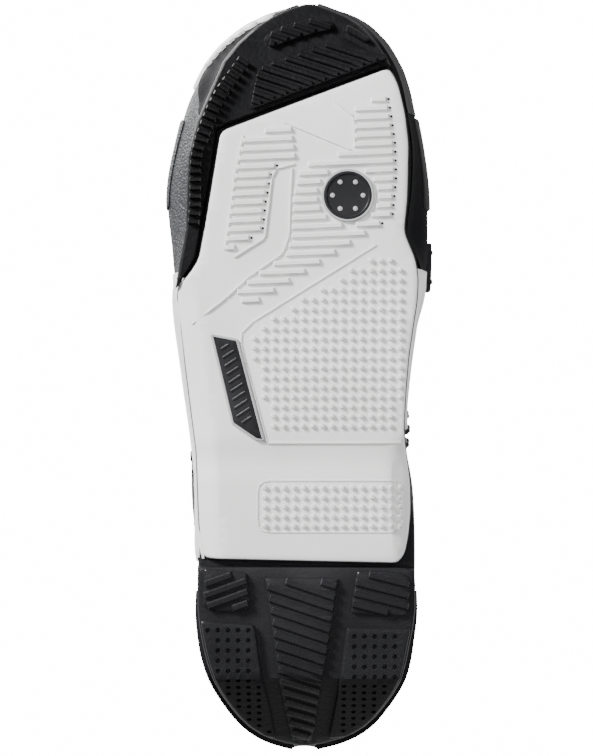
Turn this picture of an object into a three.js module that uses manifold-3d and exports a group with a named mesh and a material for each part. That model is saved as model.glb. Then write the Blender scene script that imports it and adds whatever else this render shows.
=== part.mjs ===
// Off-road riding boot, right foot. Millimetres, +Z up, toe towards -Y, heel towards +Y,
// inner (medial) side +X, outer (lateral) side -X. The origin lies on the sole's flat face.
import * as THREE from 'three';
import { mergeVertices } from 'three/addons/utils/BufferGeometryUtils.js';
import Module from 'manifold-3d';

const wasm = await Module();
wasm.setup();

// Driving dimensions.
const soleLength = 320;
const outsoleThick = 6;
const featherLine = 16;
const toeSpring = 14;
const toeSpringStart = -100;
const heelBevelStart = 126;
const heelBevelSlope = 0.92;
const shellWall = 3;
const layerGap = 0.5;
const fitGap = 0.3;
const ankleCut = 126;
const cuffBottom = 151;
const cuffTop = 350;
const bootTop = 375;
const pivot = { y: 62, z: 118, bore: 3.3, earRadius: 13, earIn: 42.5, earOut: 45.5 };
const shaftCentreX = 4;

// Smooth curve through [position, value] pairs, as a function of the position.
function through(pairs) {
  return (at) => {
    const last = pairs.length - 1;
    let k = 0;
    while (k < last - 1 && at > pairs[k + 1][0]) k += 1;
    const [a, b] = [pairs[k], pairs[k + 1]];
    const before = pairs[Math.max(k - 1, 0)];
    const after = pairs[Math.min(k + 2, last)];
    const span = b[0] - a[0];
    const f = Math.min(Math.max((at - a[0]) / span, 0), 1);
    const slopeA = ((b[1] - before[1]) / (b[0] - before[0])) * span;
    const slopeB = ((after[1] - a[1]) / (after[0] - a[0])) * span;
    const f2 = f * f;
    const f3 = f2 * f;
    return (2 * f3 - 3 * f2 + 1) * a[1] + (f3 - 2 * f2 + f) * slopeA
      + (3 * f2 - 2 * f3) * b[1] + (f3 - f2) * slopeB;
  };
}

// Edges of the upper and of the sole, as X at each Y.
const upperLateral = through([
  [-160, 3], [-156, -15], [-146, -29.5], [-135, -38.5], [-120, -47], [-100, -52.5], [-78, -56],
  [-55, -54], [-35, -52], [0, -48], [25, -44.5], [45, -42.5], [97, -42.3], [113, -40],
  [128, -35.5], [140, -29], [150, -21], [156, -12], [160, 1]]);
const upperMedial = through([
  [-160, 7], [-156, 25], [-146, 37], [-135, 43.5], [-120, 49.5], [-100, 54], [-78, 56.5],
  [-42, 55.5], [-20, 50], [0, 47.5], [12, 46], [25, 46.5], [50, 50.5], [97, 50.8],
  [113, 48], [128, 44.5], [140, 38], [150, 30], [156, 20], [160, 6]]);
const soleLateral = through([
  [-160, 3], [-154, -10], [-146, -21], [-134, -31], [-121, -36.5], [-108, -42], [-94, -45.5],
  [-64, -46.5], [-50, -49], [-36, -51.5], [0, -47.2], [25, -43.6], [45, -41.8], [97, -41.6],
  [113, -39.3], [128, -34.8], [140, -28.4], [150, -20.5], [156, -11.5], [160, 1]]);
const soleMedial = through([
  [-160, 7], [-154, 21], [-146, 31], [-134, 39], [-120, 45], [-100, 49], [-80, 48.8], [-62, 47],
  [-53, 50.5], [-42, 53.5], [-20, 49.4], [12, 45.6], [25, 46], [50, 49.8], [97, 50],
  [113, 47.4], [128, 43.8], [140, 37.4], [150, 29.4], [156, 19.5], [160, 6]]);

// Heights along the boot.
const toeRise = (y) => toeSpring * (Math.max(toeSpringStart - y, 0) / 60) ** 2;
const heelRise = (y) => Math.max(y - heelBevelStart, 0) * heelBevelSlope;
const soleBottom = (y) => toeRise(y) + heelRise(y);
const featherZ = (y) => featherLine + toeRise(y) + 0.75 * heelRise(y);
const upperTop = through([
  [-160, 46], [-150, 63], [-135, 74], [-110, 82], [-85, 90], [-60, 101], [-35, 116],
  [-10, 136], [20, 168], [105, 170], [125, 148], [133, 127], [141, 98], [150, 71], [160, 46]]);

// Shaft sections: front and rear Y and half width at each height.
const shaftFront = through([
  [110, -28], [126, -18], [160, -5], [200, -8], [250, -16], [300, -24], [380, -34]]);
const shaftRear = through([
  [110, 137], [126, 133], [160, 124], [200, 121], [250, 122], [300, 120], [380, 111]]);
const shaftHalf = through([[110, 44], [160, 46], [200, 48], [250, 51], [300, 53], [380, 55]]);

// Station along the foot: w runs from -1 at the toe to 1 at the heel.
const reach = soleLength / 2 - 0.6;
const station = (w) => reach * Math.sin((Math.PI / 2) * w);
const stationOf = (y) => Math.asin(y / reach) / (Math.PI / 2);

function smoothStep(f) {
  const g = Math.min(Math.max(f, 0), 1);
  return g * g * (3 - 2 * g);
}

// Outer surface of the foot's upper: t runs over the top from the lateral to the medial edge.
function footPoint(t, w) {
  const y = station(w);
  const base = featherZ(y) + fitGap;
  const height = upperTop(y) - base;
  const [left, right] = [upperLateral(y), upperMedial(y)];
  const middle = (left + right) / 2;
  const c = Math.cos(Math.PI * t);
  const s = Math.sin(Math.PI * t);
  const half = (right - left) / 2;
  const power = 2.6;
  const r = ((Math.abs(c) / half) ** power + (Math.abs(s) / height) ** power) ** (-1 / power);
  const z = base + r * s;
  const edge = c > 0
    ? (soleLateral(y) - middle) / (left - middle)
    : (soleMedial(y) - middle) / (right - middle);
  const bulge = edge + (1 - edge) * smoothStep((z - base) / 16);
  return new THREE.Vector3(middle - r * c * bulge, y, z);
}

// Outer surface of the shaft: a is the angle round it, 0 at the medial side, a quarter turn at the rear.
function shaftPoint(a, z) {
  const [front, rear, half] = [shaftFront(z), shaftRear(z), shaftHalf(z)];
  const depth = (rear - front) / 2;
  const power = 2.4;
  const [c, s] = [Math.cos(a), Math.sin(a)];
  const r = ((Math.abs(c) / half) ** power + (Math.abs(s) / depth) ** power) ** (-1 / power);
  return new THREE.Vector3(shaftCentreX + r * c, (front + rear) / 2 + r * s, z);
}

// Points at a distance out from the two surfaces. The shaft's are moved level, so heights stay exact.
function onFoot(t, w, out) {
  const over = footPoint(t + 1e-4, w).sub(footPoint(t - 1e-4, w));
  const along = footPoint(t, w + 1e-4).sub(footPoint(t, w - 1e-4));
  return footPoint(t, w).addScaledVector(over.cross(along).normalize(), out);
}
function onShaft(a, z, out) {
  const p = shaftPoint(a, z);
  const along = shaftPoint(a + 1e-4, z).sub(p);
  return p.addScaledVector(new THREE.Vector3(along.y, -along.x, 0).normalize(), out);
}

// Triangles with their winding turned so that the enclosed volume is positive.
function closedGeometry(points, faces) {
  let volume = 0;
  for (const [a, b, c] of faces) volume += points[a].dot(points[b].clone().cross(points[c]));
  const index = faces.flatMap(([a, b, c]) => (volume > 0 ? [a, b, c] : [a, c, b]));
  const geometry = new THREE.BufferGeometry();
  geometry.setAttribute('position', new THREE.Float32BufferAttribute(points.flatMap((p) => p.toArray()), 3));
  geometry.setIndex(index);
  return geometry;
}

// A wall of even thickness lying on a surface between two offsets. A ring closes on itself in u.
function wall(onSurface, [u0, u1], uSteps, [v0, v1], vSteps, inner, outer, ring = false) {
  const columns = ring ? uSteps : uSteps + 1;
  const rows = vSteps + 1;
  const points = [];
  for (const out of [inner, outer]) {
    for (let j = 0; j < rows; j += 1) {
      for (let i = 0; i < columns; i += 1) {
        points.push(onSurface(u0 + ((u1 - u0) * i) / uSteps, v0 + ((v1 - v0) * j) / vSteps, out));
      }
    }
  }
  const at = (layer, i, j) => layer * rows * columns + j * columns + (i % columns);
  const faces = [];
  const quad = (a, b, c, d) => faces.push([a, b, c], [a, c, d]);
  for (let i = 0; i < uSteps; i += 1) {
    for (let j = 0; j < vSteps; j += 1) {
      quad(at(1, i, j), at(1, i + 1, j), at(1, i + 1, j + 1), at(1, i, j + 1));
      quad(at(0, i, j), at(0, i, j + 1), at(0, i + 1, j + 1), at(0, i + 1, j));
    }
    quad(at(0, i, 0), at(0, i + 1, 0), at(1, i + 1, 0), at(1, i, 0));
    quad(at(1, i, vSteps), at(1, i + 1, vSteps), at(0, i + 1, vSteps), at(0, i, vSteps));
  }
  if (!ring) {
    for (let j = 0; j < vSteps; j += 1) {
      quad(at(0, 0, j), at(1, 0, j), at(1, 0, j + 1), at(0, 0, j + 1));
      quad(at(1, uSteps, j), at(0, uSteps, j), at(0, uSteps, j + 1), at(1, uSteps, j + 1));
    }
  }
  return closedGeometry(points, faces);
}

// A flat-lying layer between two edge curves and two height curves, as cross-sections along Y.
function layer(from, to, steps, left, right, low, high) {
  const points = [];
  const faces = [];
  for (let k = 0; k <= steps; k += 1) {
    const y = station(from + ((to - from) * k) / steps);
    points.push(new THREE.Vector3(left(y), y, low(y)), new THREE.Vector3(right(y), y, low(y)));
    points.push(new THREE.Vector3(right(y), y, high(y)), new THREE.Vector3(left(y), y, high(y)));
  }
  for (let k = 0; k < steps; k += 1) {
    for (let e = 0; e < 4; e += 1) {
      const [a, b] = [4 * k + e, 4 * k + ((e + 1) % 4)];
      faces.push([a, b, b + 4], [a, b + 4, a + 4]);
    }
  }
  const end = 4 * steps;
  faces.push([0, 2, 1], [0, 3, 2], [end, end + 1, end + 2], [end, end + 2, end + 3]);
  return closedGeometry(points, faces);
}

// Joins and cuts.
function solid(geometry) {
  const bare = geometry.clone();
  bare.deleteAttribute('normal');
  bare.deleteAttribute('uv');
  const merged = mergeVertices(bare, 1e-4);
  return new wasm.Manifold(new wasm.Mesh({
    numProp: 3,
    vertProperties: Float32Array.from(merged.attributes.position.array),
    triVerts: Uint32Array.from(merged.index.array),
  }));
}
function meshed(body) {
  const { vertProperties, triVerts } = body.getMesh();
  const geometry = new THREE.BufferGeometry();
  geometry.setAttribute('position', new THREE.BufferAttribute(Float32Array.from(vertProperties), 3));
  geometry.setIndex(new THREE.BufferAttribute(Uint32Array.from(triVerts), 1));
  return geometry;
}
function cut(geometry, ...tools) {
  return meshed(tools.reduce((body, tool) => body.subtract(solid(tool)), solid(geometry)));
}
function join(...geometries) {
  return meshed(geometries.map(solid).reduce((a, b) => a.add(b)));
}
function common(a, b) {
  return meshed(solid(a).intersect(solid(b)));
}
function block([x0, y0, z0], [x1, y1, z1]) {
  const box = new THREE.BoxGeometry(x1 - x0, y1 - y0, z1 - z0);
  return box.translate((x0 + x1) / 2, (y0 + y1) / 2, (z0 + z1) / 2);
}
function rod(radius, from, to, sides = 12) {
  const along = to.clone().sub(from);
  const geometry = new THREE.CylinderGeometry(radius, radius, along.length(), sides);
  const up = new THREE.Vector3(0, 1, 0);
  const turn = new THREE.Quaternion().setFromUnitVectors(up, along.clone().normalize());
  return geometry.applyQuaternion(turn).translate(...from.clone().add(to).multiplyScalar(0.5).toArray());
}
function prism(outline, z0, z1) {
  const shape = new THREE.Shape(outline.map(([x, y]) => new THREE.Vector2(x, y)));
  return new THREE.ExtrudeGeometry(shape, { depth: z1 - z0, bevelEnabled: false }).translate(0, 0, z0);
}

// Materials.
const finishes = {
  black_rubber: [0x18181a, 0.6, 0],
  white_rubber: [0xdcdcda, 0.55, 0],
  black_tpu: [0x2b2b2e, 0.45, 0],
  grey_microfibre: [0x6f6f72, 0.75, 0],
  white_tpu: [0xe8e8e6, 0.4, 0],
  steel: [0xb6b8bb, 0.3, 1],
  aluminium: [0x9a9da2, 0.35, 1],
  fibreboard: [0xa88f6a, 0.85, 0],
  foam: [0x3a3b3f, 0.9, 0],
  lining: [0x26262a, 0.95, 0],
  webbing: [0x1c1c1e, 0.85, 0],
  badge_ring: [0x8b8c8e, 0.4, 0],
};
function piece(group, name, geometry, finish) {
  const [color, roughness, metalness] = finishes[finish];
  const mesh = new THREE.Mesh(geometry, new THREE.MeshStandardMaterial({ color, roughness, metalness }));
  mesh.name = name;
  group.add(mesh);
  return mesh;
}

const boot = new THREE.Group();
const foot = new THREE.Group();
const shaft = new THREE.Group();
boot.add(foot, shaft);

// Sole: three outsole pieces in one layer, the chassis over them, and the two inlays in the grip insert.
const soleSteps = 24;
const insertOutline = [
  [39.3, -131.4], [43, -124], [46, -111.5], [47.4, -98], [47.2, -76], [45.6, -61.5], [60, -56],
  [60, 70], [46.5, 77], [42.6, 78.2], [-60, 76], [-60, -36], [-48.1, -40.7], [-41.8, -49.5],
  [-38.7, -64], [-34.6, -88.6], [-32.4, -101.5], [-28.1, -105.8]];
const heelSplit = 78.6;
const outsoleTop = (y) => soleBottom(y) + outsoleThick;
const outsole = layer(-1, 1, soleSteps, soleLateral, soleMedial, soleBottom, outsoleTop);
const insertPrism = prism(insertOutline, -1, 40);
const wider = ([x, y]) => [x + (x > 0 ? fitGap : -fitGap), y + Math.sign(y) * fitGap];
const insertHole = prism(insertOutline.map(wider), -1, 40);
const badgeRound = { x: 21.5, y: -76, radius: 10.6 };
const badgeBar = { x: -24.5, y: 2.5, length: 42, width: 11.5, tilt: -0.26 };
const inlay = { low: 0.6, high: 3 };
function roundInlay(grow, low, high) {
  const [x, y, radius] = [badgeRound.x, badgeRound.y, badgeRound.radius + grow];
  return rod(radius, new THREE.Vector3(x, y, low), new THREE.Vector3(x, y, high), 24);
}
function barInlay(grow, low, high) {
  const [l, w] = [badgeBar.length / 2 + grow, badgeBar.width / 2 + grow];
  const bar = prism([[-w, -l], [w, -l + 6], [w, l], [-w, l - 6]], low, high);
  return bar.rotateZ(badgeBar.tilt).translate(badgeBar.x, badgeBar.y, 0);
}
const insert = common(outsole, insertPrism);
const pockets = [roundInlay, barInlay].map((shape) => shape(fitGap, -1, inlay.high + fitGap));
piece(foot, 'peg_grip_insert', cut(insert, ...pockets), 'white_rubber');
piece(foot, 'sole_badge_round', roundInlay(0, inlay.low, inlay.high), 'badge_ring');
piece(foot, 'sole_badge_bar', barInlay(0, inlay.low, inlay.high), 'badge_ring');
const frontHalf = block([-80, -170, -1], [80, 0, 60]);
const rearHalf = block([-80, heelSplit, -1], [80, 170, 60]);
piece(foot, 'outsole_toe', cut(common(outsole, frontHalf), insertHole), 'black_rubber');
piece(foot, 'outsole_heel', common(outsole, rearHalf), 'black_rubber');

const shank = { x0: -7, x1: 13, y0: -45, y1: 95, z0: 12, z1: 13.5 };
const chassisBottom = (y) => outsoleTop(y) + fitGap;
const chassis = layer(-1, 1, soleSteps, soleLateral, soleMedial, chassisBottom, featherZ);
const shankPocket = block(
  [shank.x0 - fitGap, shank.y0 - fitGap, shank.z0 - fitGap],
  [shank.x1 + fitGap, shank.y1 + fitGap, 20]);
piece(foot, 'sole_chassis', cut(chassis, shankPocket), 'black_tpu');
piece(foot, 'steel_shank', block([shank.x0, shank.y0, shank.z0], [shank.x1, shank.y1, shank.z1]), 'steel');
const boardInset = 8;
const boardReach = stationOf(148);
const inLateral = (y) => soleLateral(y) + boardInset;
const inMedial = (y) => soleMedial(y) - boardInset;
const bedBase = (y) => featherZ(y) + fitGap;
function bedLayer(inset, low, high) {
  const left = (y) => inLateral(y) + inset;
  const right = (y) => inMedial(y) - inset;
  return layer(-boardReach, boardReach, 16, left, right, (y) => bedBase(y) + low, (y) => bedBase(y) + high);
}
piece(foot, 'insole_board', bedLayer(0, 0, 2), 'fibreboard');
piece(foot, 'footbed', bedLayer(1.5, 2.3, 5.5), 'foam');

// Upper: the foot's vamp and two quarters and their lining, open for the leg above the ankle cut.
const legOpening = block([-80, -60, ankleCut], [80, 170, 220]);
const footSteps = [16, 20];
const onPivot = (x) => new THREE.Vector3(x, pivot.y, pivot.z);
const pivotBore = rod(pivot.bore, onPivot(-70), onPivot(70), 12);
const footWall = wall(onFoot, [0, 1], footSteps[0], [-1, 1], footSteps[1], -shellWall, 0);
const footShell = cut(footWall, legOpening, pivotBore);
const vampEnd = -22;
const seam = { front: vampEnd + fitGap, middle: shaftCentreX, half: fitGap / 2, far: 90 };
const quarters = {
  vamp: block([-seam.far, -170, -1], [seam.far, vampEnd, 200]),
  quarter_lateral: block([-seam.far, seam.front, -1], [seam.middle - seam.half, 170, 200]),
  quarter_medial: block([seam.middle + seam.half, seam.front, -1], [seam.far, 170, 200]),
};
for (const [name, region] of Object.entries(quarters)) {
  piece(foot, name, common(footShell, region), 'grey_microfibre');
}
const liningFoot = wall(onFoot, [1 / 16, 15 / 16], 14, [-0.8, 0.8], 16, -shellWall - 4, -shellWall - 0.8);
piece(foot, 'foot_lining', cut(liningFoot, legOpening), 'lining');

// Outer panels of the foot.
// A panel's reach is counted in the shell's own steps: over the foot, then along it.
function panel([t0, t1], [w0, w1], thick, margin = 0) {
  const [over, along] = [(t) => t / footSteps[0], (w) => (2 * w) / footSteps[1] - 1];
  const span = [along(w0 + margin), along(w1 - margin)];
  return wall(onFoot, [over(t0), over(t1)], t1 - t0, span, w1 - w0, layerGap, layerGap + thick);
}
piece(foot, 'toe_cap', panel([3, 16], [0, 5], 2.4), 'black_tpu');
piece(foot, 'toe_side_panel', panel([0, 2], [1, 5], 2.2, 0.02), 'white_tpu');
piece(foot, 'shift_guard', panel([11, 16], [5, 7], 2.4, 0.04), 'black_tpu');
piece(foot, 'lateral_guard', panel([0, 4], [5, 7], 1.8, 0.04), 'grey_microfibre');
const heelCup = panel([0, 16], [15, 20], 2.4);
piece(foot, 'heel_cup', cut(heelCup, block([-80, 60, 108], [80, 180, 240])), 'black_tpu');

// Shaft: the cuff with its two ankle ears, the hinged shin plate, the lining, collar and pads.
const degrees = Math.PI / 180;
const cuffEdge = { lateral: 212 * degrees, medial: -31 * degrees };
function ear(side) {
  const outline = [];
  for (let k = 0; k <= 12; k += 1) {
    const a = Math.PI + (Math.PI * k) / 12;
    outline.push([pivot.y + pivot.earRadius * Math.cos(a), pivot.z + pivot.earRadius * Math.sin(a)]);
  }
  outline.push([pivot.y + 24, 158], [pivot.y - 24, 158]);
  const plate = prism(outline, pivot.earIn, pivot.earOut);
  const [x, y, z] = [new THREE.Vector3(1, 0, 0), new THREE.Vector3(0, 1, 0), new THREE.Vector3(0, 0, 1)];
  plate.applyMatrix4(new THREE.Matrix4().makeBasis(y, z, x));
  const shift = side > 0 ? shaftCentreX : shaftCentreX - pivot.earIn - pivot.earOut;
  return plate.translate(shift, 0, 0);
}
const cuffSpan = [cuffEdge.medial, cuffEdge.lateral];
const cuffBand = wall(onShaft, cuffSpan, 26, [cuffBottom, cuffTop], 6, -shellWall, 0);
piece(shaft, 'cuff', cut(join(cuffBand, ear(-1), ear(1)), pivotBore), 'black_tpu');

// The shin plate hangs on a flexible strip at its medial edge and overlaps the cuff's front edges.
const shin = { lateral: 205 * degrees, medial: 335 * degrees, low: 168, high: 346, wall: 2.8 };
const flap = new THREE.Group();
shaft.add(flap);
const shinSpan = [shin.lateral, shin.medial];
const shinHeights = [shin.low, shin.high];
const shinOuter = layerGap + shin.wall;
piece(flap, 'shin_plate', wall(onShaft, shinSpan, 20, shinHeights, 5, layerGap, shinOuter), 'black_tpu');
const strip = [337.5 * degrees, 345 * degrees];
const stripBody = wall(onShaft, strip, 1, shinHeights, 5, layerGap, layerGap + 2.2);
piece(shaft, 'shin_hinge_strip', stripBody, 'black_rubber');

// Inner boot, ankle lining and collar are closed rings just inside the cuff.
const turn = 2 * Math.PI;
const ringOf = (low, high, steps, outer) => (
  wall(onShaft, [0, turn], 24, [low, high], steps, -8.5, outer, true));
piece(shaft, 'inner_boot', ringOf(cuffBottom + 10, cuffTop + 0.2, 5, -shellWall - 1), 'lining');
piece(shaft, 'ankle_lining', ringOf(ankleCut + 2, cuffBottom + 9.5, 2, -shellWall - 1.6), 'lining');
piece(shaft, 'top_collar', ringOf(cuffTop + 0.8, bootTop, 1, -0.4), 'foam');
const burn = [-8 * degrees, 58 * degrees];
piece(shaft, 'burn_guard', wall(onShaft, burn, 8, [182, 306], 4, 0.9, 3.3), 'black_rubber');
const calf = [66 * degrees, 124 * degrees];
piece(shaft, 'calf_guard', wall(onShaft, calf, 8, [190, 305], 4, 0.9, 3), 'grey_microfibre');
const gap = [ankleCut + fitGap, cuffBottom - fitGap];
for (const [name, from, to] of [['front', 222, 318], ['rear', 45, 135]]) {
  const body = wall(onShaft, [from * degrees, to * degrees], 10, gap, 1, -shellWall, 0);
  piece(foot, `${name}_bellows`, body, 'black_rubber');
}

// Pivot bolts: one through each ankle ear into the foot shell.
const bolt = { shank: 3, head: 6.5, headThick: 2.4, inside: 38 };
for (const [name, side] of [['lateral', -1], ['medial', 1]]) {
  const at = (x) => new THREE.Vector3(shaftCentreX + side * x, pivot.y, pivot.z);
  const headFrom = pivot.earOut + fitGap;
  const pin = rod(bolt.shank, at(bolt.inside), at(headFrom + 1));
  const head = rod(bolt.head, at(headFrom), at(headFrom + bolt.headThick), 16);
  piece(foot, `pivot_bolt_${name}`, join(pin, head), 'steel');
}

// Pull loop: a sewn webbing loop standing off the cuff's upper rear edge.
const loop = { width: 16, low: -24, high: 24, out: 13, thick: 2, z: 344, lean: 0.125 };
const points2 = (list) => list.map(([x, y]) => new THREE.Vector2(x, y));
const loopShape = new THREE.Shape(points2([
  [0, loop.low], [loop.out, loop.low + 4], [loop.out, loop.high - 4], [0, loop.high]]));
const { thick } = loop;
loopShape.holes.push(new THREE.Path(points2([
  [thick, loop.low + 5], [loop.out - thick, loop.low + 7],
  [loop.out - thick, loop.high - 7], [thick, loop.high - 5]])));
const loopBody = new THREE.ExtrudeGeometry(loopShape, { depth: loop.width, bevelEnabled: false });
loopBody.translate(0, 0, -loop.width / 2).rotateY(Math.PI / 2).rotateX(Math.PI / 2);
const pullLoop = piece(shaft, 'pull_loop', loopBody, 'webbing');
pullLoop.rotation.x = loop.lean;
pullLoop.position.set(shaftCentreX, shaftRear(loop.z) + 2.6, loop.z);

// Buckles: each strap is riveted at the medial side, crosses the front and carries a lever on a pin.
// The lever's claw sits behind a tooth of the catch on the lateral side.
const strapThick = 2.5;
const knuckle = 3.2;
const pinRadius = 1.5;
const pinBore = 1.9;
// Hinge lines of the straps and levers, each a point and a direction.
export const hinges = {};
function buckle(name, on, groups, { anchor, start, end, steps, v, perMm, base, catchBase, leverLength }) {
  const uPerMm = 0.01 / on(end, v, 0).distanceTo(on(end - 0.01, v, 0));
  const down = (mm) => end - mm * uPerMm;
  const across = (mm) => v + mm * perMm;
  const band = ([u0, u1], [low, high], inner, outer, count = 2) => (
    wall(on, [u0, u1], count, [across(low), across(high)], 1, inner, outer));
  const pinU = down(5.4);
  const pinOut = base + 2.4;
  const pinCentre = on(pinU, v, pinOut);
  const pinLine = on(pinU, across(10), pinOut).sub(on(pinU, across(-10), pinOut)).normalize();
  const pinAt = (mm) => pinCentre.clone().addScaledVector(pinLine, mm);
  const bore = rod(pinBore, pinAt(-14), pinAt(14), 8);
  const ends = [[-10.6, -6.3], [6.3, 10.6]].flatMap(([low, high]) => [
    rod(knuckle, pinAt(low), pinAt(high), 10),
    band([down(-1), pinU], [low, high], base, base + strapThick)]);
  const tape = wall(on, [start, end], steps, [across(-10.6), across(10.6)], 1, base, base + strapThick);
  piece(groups.strap, `strap_${name}`, cut(join(tape, ...ends), bore), 'black_tpu');
  piece(groups.strap, `lever_pin_${name}`, rod(pinRadius, pinAt(-10.6), pinAt(10.6), 8), 'steel');
  const arm = join(
    rod(knuckle, pinAt(-5.8), pinAt(5.8), 10),
    band([pinU, down(11)], [-5.8, 5.8], base + 1, base + 4.2),
    band([down(10), down(leverLength)], [-9, 9], base + 1.2, base + 4.6, 4),
    band([down(19), down(22)], [-6, 6], catchBase + 3.4, base + 2));
  piece(groups.lever, `lever_${name}`, cut(arm, bore), 'aluminium');
  const plate = join(
    band([down(11), down(leverLength - 11)], [-8, 8], catchBase, catchBase + 2.8, 3),
    band([down(13), down(16)], [-6, 6], catchBase + 2, catchBase + 3.5));
  piece(groups.catch, `catch_${name}`, plate, 'aluminium');
  piece(groups.anchor, `strap_anchor_${name}`, band(anchor, [-10.6, 10.6], base, base + 3.4), 'steel');
  const line = (u, out) => [on(u, v, out), on(u, across(5), out).sub(on(u, across(-5), out)).normalize()];
  hinges[`strap_${name}`] = line(start + 0.5 * Math.PI / 180, base + 1);
  hinges[`lever_${name}`] = [pinCentre, pinLine];
}
const shinStep = (shin.medial - shin.lateral) / 20;
for (const [name, z] of [['lower', 192], ['middle', 248], ['upper', 304]]) {
  buckle(name, onShaft, { strap: flap, lever: flap, catch: shaft, anchor: flap }, {
    anchor: [shin.medial - 0.6 * shinStep, shin.medial - 0.1 * shinStep],
    start: shin.medial - shinStep,
    end: shin.lateral - shinStep,
    steps: 20,
    v: z,
    perMm: 1,
    base: layerGap + shin.wall + 0.6,
    catchBase: layerGap,
    leverLength: 47,
  });
}
buckle('instep', onFoot, { strap: foot, lever: foot, catch: foot, anchor: foot }, {
  anchor: [12.4 / 16, 12.85 / 16],
  start: 12.25 / 16,
  end: 6.5 / 16,
  steps: 10,
  v: -0.2,
  perMm: 1 / 236,
  base: 3.9,
  catchBase: layerGap,
  leverLength: 38,
});
const shinHinge = (z) => onShaft(shin.medial + 0.02, z, layerGap + shin.wall / 2);
hinges.shin_plate = [shinHinge(257), shinHinge(shin.high).sub(shinHinge(shin.low)).normalize()];

export default boot;
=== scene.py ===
import math

import bmesh
import bpy
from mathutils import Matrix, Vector, geometry


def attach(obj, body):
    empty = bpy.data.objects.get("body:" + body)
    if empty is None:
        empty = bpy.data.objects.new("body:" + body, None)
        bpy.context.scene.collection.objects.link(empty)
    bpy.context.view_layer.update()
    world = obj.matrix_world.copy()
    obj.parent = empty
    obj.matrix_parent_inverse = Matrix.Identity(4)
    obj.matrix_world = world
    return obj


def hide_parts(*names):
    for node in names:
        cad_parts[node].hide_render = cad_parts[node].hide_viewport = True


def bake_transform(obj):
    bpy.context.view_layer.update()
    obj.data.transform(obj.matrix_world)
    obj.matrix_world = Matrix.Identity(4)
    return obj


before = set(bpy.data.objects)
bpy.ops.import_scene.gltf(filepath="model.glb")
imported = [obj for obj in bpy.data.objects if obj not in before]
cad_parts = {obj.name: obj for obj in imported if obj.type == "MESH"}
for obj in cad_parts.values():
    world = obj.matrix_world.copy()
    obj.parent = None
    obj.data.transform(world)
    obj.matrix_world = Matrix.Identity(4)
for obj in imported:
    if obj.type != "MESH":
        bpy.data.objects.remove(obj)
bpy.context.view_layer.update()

# Viewpoint: straight below the boot, with the toe upwards in the view. The lens is set by how much of the
# sole the long side of the view takes in.
below, view_height, sensor = 0.95, 0.3164, 36
eye = bpy.data.objects.new("eye", bpy.data.cameras.new("eye"))
eye.data.lens = sensor * below / view_height
eye.location = (0.0, 0.0, -below)
eye.rotation_euler = (math.pi, 0, 0)
eye.data.clip_start = 0.01
bpy.context.scene.collection.objects.link(eye)
bpy.context.scene.camera = eye

# Sole outline: the moulded rubber ends where the lasted upper begins to bulge over it. Curves give X at
# each Y in millimetres, and every sole piece is laid out inside them.


def unit(value):
    """The value, held between 0 and 1."""
    return min(max(value, 0), 1)


def through(*pairs):
    """Smooth curve through (position, value) pairs."""
    def value(at):
        k = 0
        while k < len(pairs) - 2 and at > pairs[k + 1][0]:
            k += 1
        a, b = pairs[k], pairs[k + 1]
        before, after = pairs[max(k - 1, 0)], pairs[min(k + 2, len(pairs) - 1)]
        span = b[0] - a[0]
        f = unit((at - a[0]) / span)
        rise_a = (b[1] - before[1]) / (b[0] - before[0]) * span
        rise_b = (after[1] - a[1]) / (after[0] - a[0]) * span
        h = 3 * f * f - 2 * f ** 3
        return (1 - h) * a[1] + h * b[1] + (f ** 3 - 2 * f * f + f) * rise_a + (f ** 3 - f * f) * rise_b
    return value


sole_lateral = through(
    (-160, 3), (-154, -10), (-146, -21), (-134, -31), (-121, -36.5), (-108, -42), (-94, -45.5),
    (-64, -46.5), (-50, -49), (-36, -51.5), (0, -47.2), (25, -43.6), (45, -41.8), (97, -41.6),
    (113, -39.3), (128, -34.8), (140, -28.4), (150, -20.5), (156, -11.5), (160, 1))
sole_medial = through(
    (-160, 7), (-154, 21), (-146, 31), (-134, 39), (-120, 45), (-100, 49), (-80, 48.8), (-62, 47),
    (-53, 50.5), (-42, 53.5), (-20, 49.4), (12, 45.6), (25, 46), (50, 49.8), (97, 50),
    (113, 47.4), (128, 43.8), (140, 37.4), (150, 29.4), (156, 19.5), (160, 6))


toe_spring, toe_start, toe_run = 14, -100, 60
bevel_start, bevel_slope = 126, 0.92
sole_wall = 16


def toe_rise(y):
    return toe_spring * (max(toe_start - y, 0) / toe_run) ** 2


def heel_rise(y):
    return max(y - bevel_start, 0) * bevel_slope


def sole_bottom(y):
    return toe_rise(y) + heel_rise(y)


def feather(y):
    """Height of the line along which the upper meets the sole."""
    return sole_wall + toe_rise(y) + 0.75 * heel_rise(y)


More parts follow.
